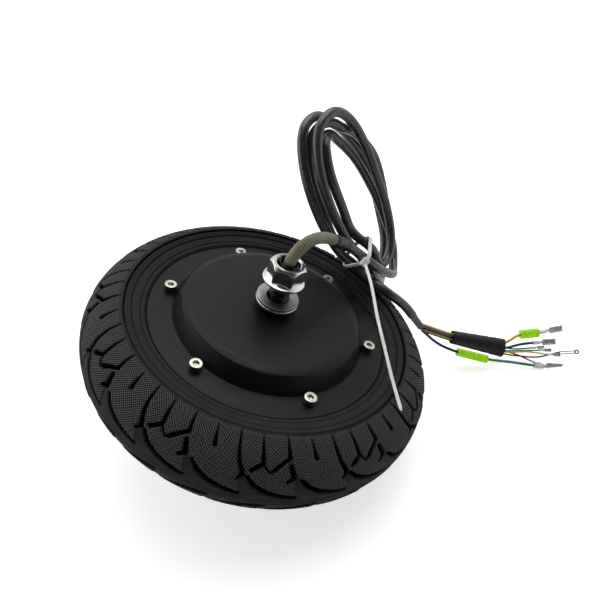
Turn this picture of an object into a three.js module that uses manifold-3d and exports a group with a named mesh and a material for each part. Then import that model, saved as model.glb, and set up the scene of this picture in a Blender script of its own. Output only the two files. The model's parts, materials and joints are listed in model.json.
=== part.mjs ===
// Hub motor wheel: a brushless motor inside a solid 200 mm tyre, turning on a fixed hollow axle.
// Millimetres, +Z up, origin at the wheel's centre, spin axis along Y.
// The cable leaves the axle on the -Y (front) side.

import * as THREE from "three";
import { mergeVertices } from "three/addons/utils/BufferGeometryUtils.js";
import Module from "manifold-3d";

const wasm = await Module();
wasm.setup();

// ---------------------------------------------------------------- driving dimensions

const FIT = 0.3; // radial gap kept between pieces that fit into one another
const SEAT_GAP = 0.2; // axial gap kept between pieces stacked on one another
const FRONT = -1;
const REAR = 1;

const TYRE = { radius: 100, centreRadius: 71.1, halfWidth: 25.6, beadRadius: 68.3, beadFace: 19.2 };
const RIM = { outer: 66, channel: 62, channelHalf: 10, flangeStart: 11.5, halfWidth: 15.7, inner: 55.5 };
const COVER = {
  outer: 67.9, face: 19, thickness: 3, spigotFoot: 14.2,
  domeBase: 54.4, plateau: 29.6, wall: 2.4, hole: 8.3,
};
const SCREW = {
  circle: 58.6, count: 6, phase: 34,
  headRadius: 3.5, headHeight: 3.8, shankRadius: 2, length: 11, socketRadius: 1.73, socketDepth: 2,
};
const AXLE = {
  half: 61, threadRadius: 6, flatHalf: 5, shoulder: 33.8, seatRadius: 7.5, bodyRadius: 10, bodyHalf: 15.6,
};
const BORE = { radius: 4.2, depth: 50, windowWidth: 6, windowLength: 4.4 };
const BEARING = { centre: 21.6, half: 5.3, bore: 7.7, outside: 17.3, pitch: 12.55, ball: 2.5, balls: 7 };
const STATOR = { teeth: 27, inner: 30.3, yoke: 36, neckHalf: 2, shoeInner: 45.7, outer: 48.6, half: 12 };
const HUB = {
  bore: 10.2, bossHalf: 10.6, webHalf: 3, rimHalf: 10, holeCircle: 20.6, holeRadius: 4, holes: 5,
};
const COIL = { inner: 36.9, outer: 45.2, innerHalf: 2.3, outerHalf: 4.05, endInner: 12.3, endOuter: 15.4 };
const LEAD_RING = { innermost: 38.6, spacing: 2.6, width: 0.8, height: 0.7 };
const HALL_BOARD = {
  inner: 37, outer: 46.5, low: -19.2, thickness: 1.6, spanDegrees: 64, sensorDegrees: 22,
};
const MAGNETS = { poles: 30, face: 49.3, back: 51.4, outer: 52.1, half: 12.5 };
const FLUX_RING = { inner: 52.4, outer: 55.2, half: 13.5 };
const WASHER = { bore: 6.4, inner: 12, outer: 11.9, thickness: 1.6 };
const NUT = { seat: 48.5, height: 11.9, acrossFlats: 18, flangeRadius: 11.6, flangeHeight: 2.4, bore: 6.3 };

const SLEEVE_RADIUS = 3.3;
const SHEATH_RADIUS = 3;
const STRAND_PITCH = 6.4; // centre distance of two cable strands lying side by side
const PHASE_WIRE_RADIUS = 0.95;
const HALL_WIRE_RADIUS = 0.55;

const ROUND = 32; // segments round the large turned pieces
const SMALL_ROUND = 20;

// ---------------------------------------------------------------- geometry helpers

const vec = (x, y, z) => new THREE.Vector3(x, y, z);
const radians = (degrees) => THREE.MathUtils.degToRad(degrees);

// A turned piece about Y from [radius, y] points; a profile that misses the axis is closed on itself.
function turned(profile, segments = ROUND) {
  const points = profile.map(([r, y]) => new THREE.Vector2(r, y));
  if (THREE.ShapeUtils.area(points) < 0) points.reverse();
  const reachesAxis = points.filter((p) => p.x === 0).length >= 2;
  if (!reachesAxis) points.push(points[0].clone());
  while (reachesAxis && (points[0].x !== 0 || points.at(-1).x !== 0)) {
    points.push(points.shift());
  }
  return new THREE.LatheGeometry(points, segments);
}

// The same profile given as [radius, distance from mid-plane] for one side of the wheel.
const turnedSide = (side, profile, segments) =>
  turned(profile.map(([r, out]) => [r, side * out]), segments);

// A profile given for the +Y half, completed by its mirror image.
const symmetric = (half) => [...half, ...half.map(([r, y]) => [r, -y]).reverse()];

// A flat outline extruded along Y between two heights.
function platedY(outline, low, high, holes = []) {
  const shape = new THREE.Shape(outline);
  shape.holes = holes.map((hole) => new THREE.Path(hole));
  const plate = new THREE.ExtrudeGeometry(shape, { depth: high - low, bevelEnabled: false });
  return plate.rotateX(-Math.PI / 2).translate(0, low, 0);
}

const polar = (radius, angle) => new THREE.Vector2(radius * Math.cos(angle), radius * Math.sin(angle));

const circle = (radius, count) =>
  Array.from({ length: count }, (_, i) => polar(radius, (i / count) * 2 * Math.PI));

const outlineOf = (pairs) => pairs.map(([x, y]) => new THREE.Vector2(x, y));

// A round bar along a smooth curve through the points.
function tube(points, radius, sides, steps) {
  const curve = new THREE.CatmullRomCurve3(points);
  const section = new THREE.Shape(circle(radius, sides));
  return new THREE.ExtrudeGeometry(section, { steps, extrudePath: curve, bevelEnabled: false });
}

// A cylinder along Y between two heights, centred on (x, z).
const pillar = (radius, low, high, x = 0, z = 0, sides = 16) =>
  new THREE.CylinderGeometry(radius, radius, high - low, sides).translate(x, (low + high) / 2, z);

const block = (x, y, z, at = [0, 0, 0]) => new THREE.BoxGeometry(x, y, z).translate(...at);

// A closed geometry as a manifold solid, and back.
function solid(geometry) {
  const bare = geometry.clone();
  bare.deleteAttribute("normal");
  bare.deleteAttribute("uv");
  const merged = mergeVertices(bare, 1e-4);
  const vertProperties = merged.attributes.position.array;
  const triVerts = new Uint32Array(merged.index.array);
  return new wasm.Manifold(new wasm.Mesh({ numProp: 3, vertProperties, triVerts }));
}

function geometryOf(body) {
  const mesh = body.getMesh();
  const geometry = new THREE.BufferGeometry();
  geometry.setAttribute("position", new THREE.BufferAttribute(mesh.vertProperties, 3));
  geometry.setIndex(new THREE.BufferAttribute(mesh.triVerts, 1));
  return geometry;
}

const joined = (...geometries) => geometryOf(geometries.map(solid).reduce((a, b) => a.add(b)));
const cut = (geometry, ...tools) =>
  geometryOf(tools.map(solid).reduce((a, b) => a.subtract(b), solid(geometry)));

// ---------------------------------------------------------------- finishes

const finish = (color, roughness, metalness) => ({ color, roughness, metalness });
const FINISH = {
  tyre: finish(0x1d1d1e, 0.85, 0),
  satinBlack: finish(0x2b2c2e, 0.55, 0.3),
  aluminium: finish(0xa9abae, 0.45, 1),
  steel: finish(0x8a8c8f, 0.4, 1),
  darkSteel: finish(0x2a2926, 0.5, 0.8),
  zinc: finish(0xb9bdc0, 0.35, 1),
  chrome: finish(0xd9dbde, 0.12, 1),
  stainless: finish(0xb6b2a6, 0.3, 1),
  lamination: finish(0x5d5f63, 0.5, 0.9),
  copper: finish(0x9a4a24, 0.4, 0.9),
  magnet: finish(0x7d7f84, 0.35, 1),
  board: finish(0x1f5a34, 0.5, 0),
  glassSleeve: finish(0x8b8a6f, 0.85, 0),
  sheath: finish(0x1b1b1d, 0.5, 0),
  nylon: finish(0xf1f1ee, 0.45, 0),
  tin: finish(0xb9b7b0, 0.3, 1),
  lime: finish(0x9bea2f, 0.3, 0),
};

const wheel = new THREE.Group();
const stator = new THREE.Group();
const looseParts = new THREE.Group();

function piece(group, name, geometry, look) {
  const mesh = new THREE.Mesh(geometry, new THREE.MeshStandardMaterial(look));
  mesh.name = name;
  group.add(mesh);
  return mesh;
}

// ---------------------------------------------------------------- wheel: tyre, rim, covers

// Radius of the tyre's elliptical crown at angle s from the mid-plane crest.
function tyreCrown(s) {
  const crownHeight = TYRE.radius - TYRE.centreRadius;
  return [TYRE.centreRadius + crownHeight * Math.cos(s), TYRE.halfWidth * Math.sin(s)];
}

function tyreGeometry() {
  const steps = 8;
  const edge = radians(71.5);
  const crown = Array.from({ length: steps + 1 }, (_, i) => tyreCrown(-edge + (i / steps) * 2 * edge));
  const wall = [[78.2, 22.9], [71, 20.6], [TYRE.beadRadius, TYRE.beadFace]];
  const seat = [[TYRE.beadRadius, 15.9], [RIM.outer + FIT, 15.8], [RIM.outer + FIT, RIM.flangeStart - FIT]];
  const tongue = [[RIM.channel + FIT, RIM.channelHalf - FIT]];
  const half = [...wall, ...seat, ...tongue];
  const mirrored = half.map(([r, y]) => [r, -y]).reverse();
  return turned([...mirrored, ...crown, ...half]);
}

// Blind screw holes open at the rim's side face and a little deeper than the screws reach.
function rimScrewHoles(side) {
  const mouth = side * (RIM.halfWidth + 1);
  const bottom = side * (COVER.face - SCREW.length - 0.8);
  const low = Math.min(mouth, bottom);
  const high = Math.max(mouth, bottom);
  return screwPlaces().map(([x, z]) => pillar(SCREW.shankRadius + FIT, low, high, x, z, 8));
}

function rimGeometry() {
  const profile = symmetric([
    [RIM.inner, RIM.halfWidth], [RIM.outer, RIM.halfWidth], [RIM.outer, RIM.flangeStart],
    [RIM.channel, RIM.channelHalf],
  ]);
  return cut(turned(profile), ...rimScrewHoles(FRONT), ...rimScrewHoles(REAR));
}

function screwPlaces() {
  return Array.from({ length: SCREW.count }, (_, i) => {
    const at = polar(SCREW.circle, radians(SCREW.phase) + (i / SCREW.count) * 2 * Math.PI);
    return [at.x, at.y];
  });
}

// Cast cover: flat flange, domed middle, bearing pocket inside and a spigot that centres it in the rim.
function coverGeometry(side) {
  const roof = COVER.plateau - COVER.wall;
  const under = COVER.face - COVER.thickness;
  const { spigotFoot } = COVER;
  const profile = [
    [COVER.hole, COVER.plateau], [COVER.hole, roof],
    [BEARING.outside + FIT, roof], [BEARING.outside + FIT, under + SEAT_GAP],
    [21.5, under + SEAT_GAP], [22.5, roof - 1.2], [45.2, roof - 0.6],
    [50.8, 18], [51, spigotFoot], [RIM.inner - 0.4, spigotFoot], [RIM.inner - 0.4, under],
    [COVER.outer, under], [COVER.outer, COVER.face - 0.4], [COVER.outer - 0.4, COVER.face],
    [COVER.domeBase + 0.4, COVER.face], [COVER.domeBase - 0.2, 19.9],
    [50.6, 27.4], [46.6, COVER.plateau],
  ];
  const reach = 6;
  const middle = side * (COVER.face - COVER.thickness / 2);
  const holes = screwPlaces().map(([x, z]) =>
    pillar(SCREW.shankRadius + FIT, middle - reach, middle + reach, x, z, 8));
  return cut(turnedSide(side, profile), ...holes);
}

// Socket head cap screw standing on the flange, with a hexagonal key socket.
function screwGeometry(side) {
  const { headRadius, headHeight, shankRadius, length, socketRadius, socketDepth } = SCREW;
  const foot = COVER.face - length;
  const seat = COVER.face + SEAT_GAP;
  const top = seat + headHeight;
  const body = turnedSide(side, [
    [0, foot], [shankRadius, foot], [shankRadius, seat], [headRadius, seat], [headRadius, top], [0, top],
  ], 8);
  const socket = new THREE.CylinderGeometry(socketRadius, socketRadius, 2 * socketDepth, 6);
  return cut(body, socket.translate(0, side * top, 0));
}

function addScrews(side, prefix) {
  screwPlaces().forEach(([x, z], i) => {
    const screw = piece(wheel, `${prefix}_screw_${i + 1}`, screwGeometry(side), FINISH.stainless);
    screw.position.set(x, 0, z);
  });
}

function magnetRingGeometry() {
  const step = (2 * Math.PI) / MAGNETS.poles;
  const inner = [];
  for (let i = 0; i < MAGNETS.poles; i += 1) {
    const middle = i * step;
    inner.push(polar(MAGNETS.back, middle - 0.47 * step), polar(MAGNETS.face, middle - 0.42 * step));
    inner.push(polar(MAGNETS.face, middle + 0.42 * step), polar(MAGNETS.back, middle + 0.47 * step));
  }
  return platedY(circle(MAGNETS.outer, 2 * MAGNETS.poles), -MAGNETS.half, MAGNETS.half, [inner]);
}

function fluxRingGeometry() {
  const { inner, outer, half } = FLUX_RING;
  return turned([[inner, -half], [outer, -half], [outer, half], [inner, half]]);
}

// ---------------------------------------------------------------- bearings

const grooved = (side, shoulder, groove, back) => turnedSide(side, [
  [back, BEARING.centre - BEARING.half], [shoulder, BEARING.centre - BEARING.half],
  [shoulder, BEARING.centre - 3], [groove, BEARING.centre],
  [shoulder, BEARING.centre + 3], [shoulder, BEARING.centre + BEARING.half],
  [back, BEARING.centre + BEARING.half],
], SMALL_ROUND);

const innerRaceGeometry = (side) => grooved(side, 10.8, 9, BEARING.bore);
const outerRaceGeometry = (side) => grooved(side, 14.3, 16.1, BEARING.outside);

// Balls joined by the thin cage ring that spaces them.
function ballSetGeometry(side) {
  const y = side * BEARING.centre;
  const cage = turned([[12.1, y - 0.5], [12.9, y - 0.5], [12.9, y + 0.5], [12.1, y + 0.5]], 21);
  const balls = Array.from({ length: BEARING.balls }, (_, i) => {
    const at = polar(BEARING.pitch, (i / BEARING.balls) * 2 * Math.PI);
    return new THREE.OctahedronGeometry(BEARING.ball, 1).translate(at.x, y, at.y);
  });
  return joined(cage, ...balls);
}

// ---------------------------------------------------------------- axle and stator

function axleGeometry() {
  const { half, threadRadius, shoulder, seatRadius, bodyRadius, bodyHalf, flatHalf } = AXLE;
  const chamfer = 0.8;
  const profile = symmetric([
    [0, half], [threadRadius - chamfer, half], [threadRadius, half - chamfer], [threadRadius, shoulder],
    [seatRadius, shoulder], [seatRadius, bodyHalf], [bodyRadius, bodyHalf],
  ]);
  const flatLength = half - shoulder;
  const flats = [FRONT, REAR].flatMap((side) => [-1, 1].map((face) =>
    block(4, flatLength + 2, 14, [face * (flatHalf + 2), side * (shoulder + flatLength / 2 + 1.001), 0])));
  const bore = pillar(BORE.radius, -half - 1, -half + BORE.depth, 0, 0, 12);
  const windowCentre = -half + BORE.depth - BORE.windowLength / 2 - 0.1;
  const window = block(BORE.windowWidth, BORE.windowLength, 14, [0, windowCentre, 7]);
  return cut(turned(profile, SMALL_ROUND), ...flats, bore, window);
}

// Spool that carries the laminations on the axle, with five lightening holes in its web.
function statorHubGeometry() {
  const profile = symmetric([
    [HUB.bore, HUB.bossHalf], [14, HUB.bossHalf], [15, HUB.webHalf],
    [26, HUB.webHalf], [27, HUB.rimHalf], [STATOR.inner - 0.5, HUB.rimHalf],
  ]);
  const depth = HUB.webHalf + 1;
  const holes = Array.from({ length: HUB.holes }, (_, i) => {
    const at = polar(HUB.holeCircle, (i / HUB.holes) * 2 * Math.PI);
    return pillar(HUB.holeRadius, -depth, depth, at.x, at.y, 8);
  });
  return cut(turned(profile), ...holes);
}

function statorCoreGeometry() {
  const step = (2 * Math.PI) / STATOR.teeth;
  const outline = [];
  for (let i = 0; i < STATOR.teeth; i += 1) {
    const middle = i * step;
    const tooth = (radius, half) => [-1, 1].map((side) => polar(radius, middle + side * (half / radius)));
    const [rootLow, rootHigh] = tooth(STATOR.yoke, STATOR.neckHalf);
    const [neckLow, neckHigh] = tooth(STATOR.shoeInner, STATOR.neckHalf);
    const [tipLow, tipHigh] = tooth(STATOR.outer, 4.9);
    outline.push(rootLow, neckLow, tipLow, tipHigh, neckHigh, rootHigh);
  }
  return platedY(outline, -STATOR.half, STATOR.half, [circle(STATOR.inner, STATOR.teeth)]);
}

// One coil standing on +Z: a rectangular frame wound round a tooth.
function coilGeometry() {
  const { inner, outer, innerHalf, outerHalf, endInner, endOuter } = COIL;
  const frame = new THREE.Shape(outlineOf([
    [-outerHalf, -endOuter], [outerHalf, -endOuter], [outerHalf, endOuter], [-outerHalf, endOuter],
  ]));
  frame.holes.push(new THREE.Path(outlineOf([
    [-innerHalf, -endInner], [-innerHalf, endInner], [innerHalf, endInner], [innerHalf, -endInner],
  ])));
  const coil = new THREE.ExtrudeGeometry(frame, { depth: outer - inner, bevelEnabled: false });
  return coil.translate(0, 0, inner);
}

// One phase: nine coils in three groups of three, joined by a ring of lead wire on the front side.
function windingGeometry(phase) {
  const leadRadius = LEAD_RING.innermost + LEAD_RING.spacing * phase;
  const leadLow = -COIL.endOuter - 1.1;
  const leadHigh = leadLow + LEAD_RING.height;
  const post = block(1.2, 1.6, 0.7, [0, -COIL.endOuter - 0.2, leadRadius]);
  const coil = joined(coilGeometry(), post);
  const teeth = Array.from({ length: STATOR.teeth }, (_, i) => i);
  const coils = teeth.filter((tooth) => Math.floor(tooth / 3) % 3 === phase).map((tooth) => {
    const angle = (tooth / STATOR.teeth) * 2 * Math.PI;
    return coil.clone().rotateY(Math.PI / 2 + angle);
  });
  const lead = turned([
    [leadRadius - LEAD_RING.width / 2, leadLow], [leadRadius + LEAD_RING.width / 2, leadLow],
    [leadRadius + LEAD_RING.width / 2, leadHigh], [leadRadius - LEAD_RING.width / 2, leadHigh],
  ], STATOR.teeth);
  return joined(lead, ...coils);
}

// Curved circuit board over the winding ends, carrying the three rotor position sensors.
function hallBoardGeometry() {
  const { inner, outer, low, thickness, spanDegrees, sensorDegrees } = HALL_BOARD;
  const steps = 10;
  const end = radians(spanDegrees / 2);
  const arc = (radius, from, to) =>
    Array.from({ length: steps + 1 }, (_, i) => polar(radius, from + ((to - from) * i) / steps));
  const board = platedY([...arc(outer, -end, end), ...arc(inner, end, -end)], low, low + thickness);
  const sensors = [-1, 0, 1].map((i) =>
    block(1.6, 1.6, 4.2, [outer - 2, low - 0.6, 0]).rotateY(i * radians(sensorDegrees)));
  return joined(board, ...sensors).rotateY(radians(90));
}

// ---------------------------------------------------------------- axle hardware

function washerGeometry(side, seat, radius) {
  const top = seat + WASHER.thickness;
  return turnedSide(side, [
    [WASHER.bore, seat], [radius, seat], [radius, top], [WASHER.bore, top],
  ], SMALL_ROUND);
}

// Flange nut: hexagon with chamfered corners on a round flange, bored to clear the thread.
function nutGeometry(side) {
  const { seat, height, acrossFlats, flangeRadius, flangeHeight, bore } = NUT;
  const top = seat + height;
  const corner = acrossFlats / Math.sqrt(3);
  const hexagon = new THREE.CylinderGeometry(corner, corner, height - 1, 6);
  hexagon.translate(0, side * (seat + height / 2 + 0.5), 0);
  const chamfer = turnedSide(side, [
    [0, seat], [corner + 1, seat], [corner + 1, top - 1.6], [acrossFlats / 2 - 0.2, top], [0, top],
  ], SMALL_ROUND);
  const flange = turnedSide(side, [
    [0, seat], [flangeRadius - 0.4, seat], [flangeRadius, seat + 0.5],
    [flangeRadius, seat + 1.2], [acrossFlats / 2, seat + flangeHeight], [0, seat + flangeHeight],
  ], SMALL_ROUND);
  const body = solid(hexagon).intersect(solid(chamfer)).add(solid(flange));
  const through = pillar(bore, -height, height, 0, 0, SMALL_ROUND);
  through.translate(0, side * (seat + height / 2), 0);
  return geometryOf(body.subtract(solid(through)));
}

// ---------------------------------------------------------------- cable: sleeve, coil, tie

const SLEEVE_PATH = [
  vec(0, -49, 0), vec(0, -57.5, 0), vec(0.9, -62.5, 0.5), vec(3.6, -67, 2), vec(9.4, -70.5, 5.2),
  vec(17, -70.4, 9.5), vec(24, -68, 13.3), vec(30.6, -64.6, 17),
];
const SHEATH_LEAD_IN = [vec(31.2, -64.2, 17.3), vec(46, -56, 24)];
const SHEATH_LEAD_OUT = [vec(81, -27, 10), vec(98, -19, 6), vec(113, -7, 3)];

// The coil: four oval turns about one centre, gathered into the tie at their lower side.
const COIL_CENTRE = vec(64, -67, 60);
const COIL_UP = vec(-19, -42, 23);
const COIL_ACROSS = vec(33, 15, 8);
const COIL_NORMAL = COIL_ACROSS.clone().cross(COIL_UP).normalize();

// Each turn's shift from the base oval, in strand pitches, as [outwards, along the normal].
const COIL_TURNS = [
  { low: [0.25, 0.25], high: [-0.8, -0.55], top: [-2, -0.9], back: [-1.5, 0.2] },
  { low: [-1, 0.65], high: [-1, 0.8], top: [-0.05, 0.7], back: [-0.05, -0.05] },
  { low: [2.55, -2.15], high: [2.15, -0.75], top: [-0.8, -0.25], back: [-0.9, -1.75] },
  { low: [0.25, -0.8], high: [1.65, -1.75], top: [-0.2, -1.3], back: [0.45, -1.5] },
];

// The tie's frame, and where the five passes of the cable lie in it, in strand pitches from its centre.
const TIE_CENTRE = vec(65, -41, 37);
const TIE_ALONG = vec(0.82, 0.42, -0.36).normalize();
const TIE_FACING = vec(-0.2, -0.38, -0.9).cross(TIE_ALONG).cross(TIE_ALONG).negate().normalize();
const TIE_SIDE = TIE_ALONG.clone().cross(TIE_FACING);
const TIE_SLOTS = [[-0.05, 2.45], [-1.25, 0.35], [0, 0.75], [0, -1.15], [1.1, 0.1]];

const ease = (t) => 0.5 - 0.5 * Math.cos(Math.PI * t);

function turnShift(turn, angle) {
  const knots = [[60, turn.low], [120, turn.high], [180, turn.top], [255, turn.back]];
  if (angle <= knots[0][0]) return knots[0][1];
  for (let i = 1; i < knots.length; i += 1) {
    const [from, a] = knots[i - 1];
    const [to, b] = knots[i];
    if (angle > to) continue;
    const t = ease((angle - from) / (to - from));
    return [a[0] + (b[0] - a[0]) * t, a[1] + (b[1] - a[1]) * t];
  }
  return turn.back;
}

function coilPoint(angle, [outwards, along]) {
  const point = COIL_CENTRE.clone()
    .addScaledVector(COIL_UP, -Math.cos(radians(angle)))
    .addScaledVector(COIL_ACROSS, Math.sin(radians(angle)));
  const outward = point.clone().sub(COIL_CENTRE).normalize();
  return point
    .addScaledVector(outward, outwards * STRAND_PITCH)
    .addScaledVector(COIL_NORMAL, along * STRAND_PITCH);
}

function tiePoint([side, facing], along) {
  return TIE_CENTRE.clone()
    .addScaledVector(TIE_SIDE, side * STRAND_PITCH)
    .addScaledVector(TIE_FACING, facing * STRAND_PITCH)
    .addScaledVector(TIE_ALONG, along);
}

// Path of the whole sheath: in from the sleeve, four turns through the tie, out to the wire ends.
function sheathPath() {
  const stations = [15, 35, 65, 95, 125, 150, 175, 200, 230, 260, 292, 318];
  const pull = new Map([[15, 0.6], [35, 0.25], [292, 0.15], [318, 0.5]]);
  const points = [...SHEATH_LEAD_IN];
  COIL_TURNS.forEach((turn, k) => {
    points.push(tiePoint(TIE_SLOTS[k], -4), tiePoint(TIE_SLOTS[k], 4));
    stations.forEach((angle) => {
      const slot = TIE_SLOTS[angle < 180 ? k : k + 1];
      const weight = pull.get(angle) ?? 0;
      const shift = turnShift(turn, angle).map((value, i) => value * (1 - weight) + slot[i] * weight);
      points.push(coilPoint(angle, shift));
    });
  });
  const last = TIE_SLOTS.at(-1);
  return [...points, tiePoint(last, -4), tiePoint(last, 5), ...SHEATH_LEAD_OUT];
}

// Shrink collar round the first stretch of the sheath.
function collarGeometry() {
  const lead = new THREE.CatmullRomCurve3(sheathPath().slice(0, 5));
  const points = [0.02, 0.08, 0.14, 0.2, 0.26].map((t) => lead.getPoint(t));
  const section = new THREE.Shape(circle(SHEATH_RADIUS + 0.75, 8));
  section.holes.push(new THREE.Path(circle(SHEATH_RADIUS + 0.4, 8)));
  const extrudePath = new THREE.CatmullRomCurve3(points);
  return new THREE.ExtrudeGeometry(section, { steps: 4, extrudePath, bevelEnabled: false });
}

// Outline of the strap: the taut loop round all five strands, at a distance from their skins.
function strapOutline(distance) {
  return Array.from({ length: 32 }, (_, i) => {
    const direction = polar(1, (i / 32) * 2 * Math.PI);
    const reach = ([a, b]) => (a * direction.x + b * direction.y) * STRAND_PITCH;
    const [a, b] = TIE_SLOTS.reduce((best, slot) => (reach(slot) > reach(best) ? slot : best));
    const strand = new THREE.Vector2(a, b).multiplyScalar(STRAND_PITCH);
    return strand.addScaledVector(direction, SHEATH_RADIUS + distance);
  });
}

const TIE_HEAD = { x: 6.2, y: 3.6, z: 4.6 };
const TIE_TAIL = [
  vec(56, -46, 0), vec(52, -41, -22), vec(50.5, -35.5, -40), vec(49.5, -30, -56.5), vec(49, -25, -73),
];

// The flat tail that leaves the locking head and hangs across the tyre.
function tieTailGeometry(start) {
  const section = new THREE.Shape(outlineOf([[-0.55, -1.2], [0.55, -1.2], [0.55, 1.2], [-0.55, 1.2]]));
  const extrudePath = new THREE.CatmullRomCurve3([start, ...TIE_TAIL]);
  return new THREE.ExtrudeGeometry(section, { steps: 20, extrudePath, bevelEnabled: false });
}

// Cable tie: strap loop round the strands, square locking head and long tail.
function tieGeometry() {
  const strap = new THREE.Shape(strapOutline(2.2));
  strap.holes.push(new THREE.Path(strapOutline(1.1)));
  const width = 2.6;
  const back = TIE_ALONG.clone().negate();
  const frame = new THREE.Matrix4().makeBasis(TIE_SIDE, TIE_FACING, back).setPosition(TIE_CENTRE);
  const loop = new THREE.ExtrudeGeometry(strap, { depth: width, bevelEnabled: false });
  const headAt = [1.6, TIE_SLOTS[0][1] * STRAND_PITCH + SHEATH_RADIUS + 2, width / 2];
  const head = block(TIE_HEAD.x, TIE_HEAD.y, TIE_HEAD.z, headAt);
  const body = joined(loop, head).applyMatrix4(frame);
  return joined(body, tieTailGeometry(vec(...headAt).applyMatrix4(frame)));
}

// ---------------------------------------------------------------- wires, shrink, terminals

const SHEATH_END = vec(113.3, -6.7, 2.9);
const SHRINK_START = vec(139.6, -0.9, -1.9);
const SHRINK_END = vec(178.9, 0, -13.4);
const BUNDLE_TALL = vec(0, -0.74, 0.68);

// Each wire: place in the bundle as [tall, deep] in mm, then its own free course.
const WIRES = {
  phase_wire_yellow: {
    slot: [1.85, 0],
    course: [vec(186, -5.6, -10.2), vec(192.2, -9.6, -9.8), vec(204.8, -13.7, -12.2)],
  },
  phase_wire_blue: { slot: [0, 1.1], course: [vec(190.2, -5, -15.2), vec(199.6, -7.4, -16.4)] },
  hall_wire_blue: { slot: [0.27, -1.15], course: [vec(190, 1, -14), vec(204, -1.5, -16)] },
  hall_wire_green: { slot: [-1.05, -0.53], course: [vec(194.6, -1, -17.6), vec(206.6, -3.2, -20)] },
  hall_wire_yellow: { slot: [-1.67, 0.84], course: [vec(194, -3.9, -21.4), vec(207, -5.8, -26.2)] },
  hall_wire_red: { slot: [-1.23, -1.85], course: [vec(191, 3, -17.5), vec(199.4, 2.6, -24.8)] },
  hall_wire_black: {
    slot: [-2.38, -0.35],
    course: [vec(190, 1.2, -20.6), vec(203, -1.2, -24.6), vec(216, -5.6, -25.6)],
  },
};
const WIRE_LOOK = {
  yellow: finish(0xe0b21e, 0.45, 0),
  blue: finish(0x24407c, 0.45, 0),
  green: finish(0x1f7a5a, 0.45, 0),
  red: finish(0x9c2320, 0.45, 0),
  black: finish(0x1c1c1c, 0.5, 0),
};

const bundleAlong = SHRINK_END.clone().sub(SHRINK_START).normalize();
const bundleTall = BUNDLE_TALL.clone().projectOnPlane(bundleAlong).normalize();
const bundleDeep = bundleAlong.clone().cross(bundleTall);

function bundlePoint(centre, [tall, deep], spread) {
  return centre.clone().addScaledVector(bundleTall, tall * spread).addScaledVector(bundleDeep, deep);
}

function wireGeometry({ slot, course }, radius) {
  const middle = SHEATH_END.clone().lerp(SHRINK_START, 0.5);
  const inside = SHRINK_START.clone().lerp(SHRINK_END, 0.5);
  const start = SHEATH_END.clone().addScaledVector(bundleAlong, 1);
  const points = [
    bundlePoint(start, slot, 1), bundlePoint(middle, slot, 1), bundlePoint(SHRINK_START, slot, 1),
    bundlePoint(inside, slot, 1.3), bundlePoint(SHRINK_END, slot, 1.7), ...course,
  ];
  return tube(points, radius, 5, 2 * points.length);
}

const GREEN_COVER = [vec(142.7, 5, -10.7), vec(164, 5.4, -18.2)];
const YELLOW_COVER = [vec(192.2, -9.6, -9.8), vec(204.2, -13.5, -12.1)];

function greenPhaseWireGeometry() {
  const start = bundlePoint(SHEATH_END.clone().addScaledVector(bundleAlong, 1), [-2.6, 2.1], 1);
  const points = [start, vec(128.5, 2.4, -5), ...GREEN_COVER, vec(181.6, 3.4, -24), vec(197.4, 1.8, -29.5)];
  return tube(points, PHASE_WIRE_RADIUS, 5, 14);
}

// Heat shrink round seven wires: round at the cable end, flattened and taller at the open end.
const SHRINK = { outer: 3.55, inner: 3.15, widening: 0.95 };

function shrinkGeometry() {
  const length = SHRINK_START.distanceTo(SHRINK_END);
  const sleeve = turned([
    [SHRINK.outer, 0], [SHRINK.outer, length], [SHRINK.inner, length], [SHRINK.inner, 0],
  ], 16);
  const position = sleeve.attributes.position;
  for (let i = 0; i < position.count; i += 1) {
    const widening = 1 + SHRINK.widening * (position.getY(i) / length);
    position.setX(i, position.getX(i) * widening);
  }
  const frame = new THREE.Matrix4().makeBasis(bundleTall, bundleAlong, bundleDeep.clone().negate());
  return sleeve.applyMatrix4(frame.setPosition(SHRINK_START));
}

// Frame whose X axis runs from one point to another, with Z near the bundle's deep side.
function frameAlong(from, to) {
  const x = to.clone().sub(from).normalize();
  const y = bundleDeep.clone().cross(x).normalize();
  return new THREE.Matrix4().makeBasis(x, y, x.clone().cross(y)).setPosition(from);
}

// Clear cover slid on a wire: a flattened tube with a round passage.
function terminalCoverGeometry([from, to], height) {
  const x = height / 2;
  const y = 2.4;
  const shape = new THREE.Shape(outlineOf([
    [-x, -y + 1], [-x + 1, -y], [x - 1, -y], [x, -y + 1], [x, y - 1], [x - 1, y], [-x + 1, y], [-x, y - 1],
  ]));
  shape.holes.push(new THREE.Path(circle(PHASE_WIRE_RADIUS + 0.5, 8)));
  const cover = new THREE.ExtrudeGeometry(shape, { depth: from.distanceTo(to), bevelEnabled: false });
  cover.rotateY(Math.PI / 2).rotateX(Math.PI / 2);
  return cover.applyMatrix4(frameAlong(from, to));
}

// Crimped blade terminal along X: round crimp, neck and a tray with rolled edges.
function bladeTerminalGeometry(scale) {
  const crimp = new THREE.CylinderGeometry(1.5, 1.5, 5.5, 6).rotateZ(Math.PI / 2).translate(2.75, 0, 0);
  const neck = block(4, 1.6, 0.8, [6.5, 0, -0.6]);
  const section = new THREE.Shape(outlineOf([
    [-2.1, -1], [2.1, -1], [2.1, 0.6], [1.5, 0.6], [1.5, -0.4], [-1.5, -0.4], [-1.5, 0.6], [-2.1, 0.6],
  ]));
  const blade = new THREE.ExtrudeGeometry(section, { depth: 10, bevelEnabled: false });
  blade.rotateX(Math.PI / 2).rotateZ(Math.PI / 2).translate(8, 0, 0);
  return joined(crimp, neck, blade).scale(scale, scale, scale);
}

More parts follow.
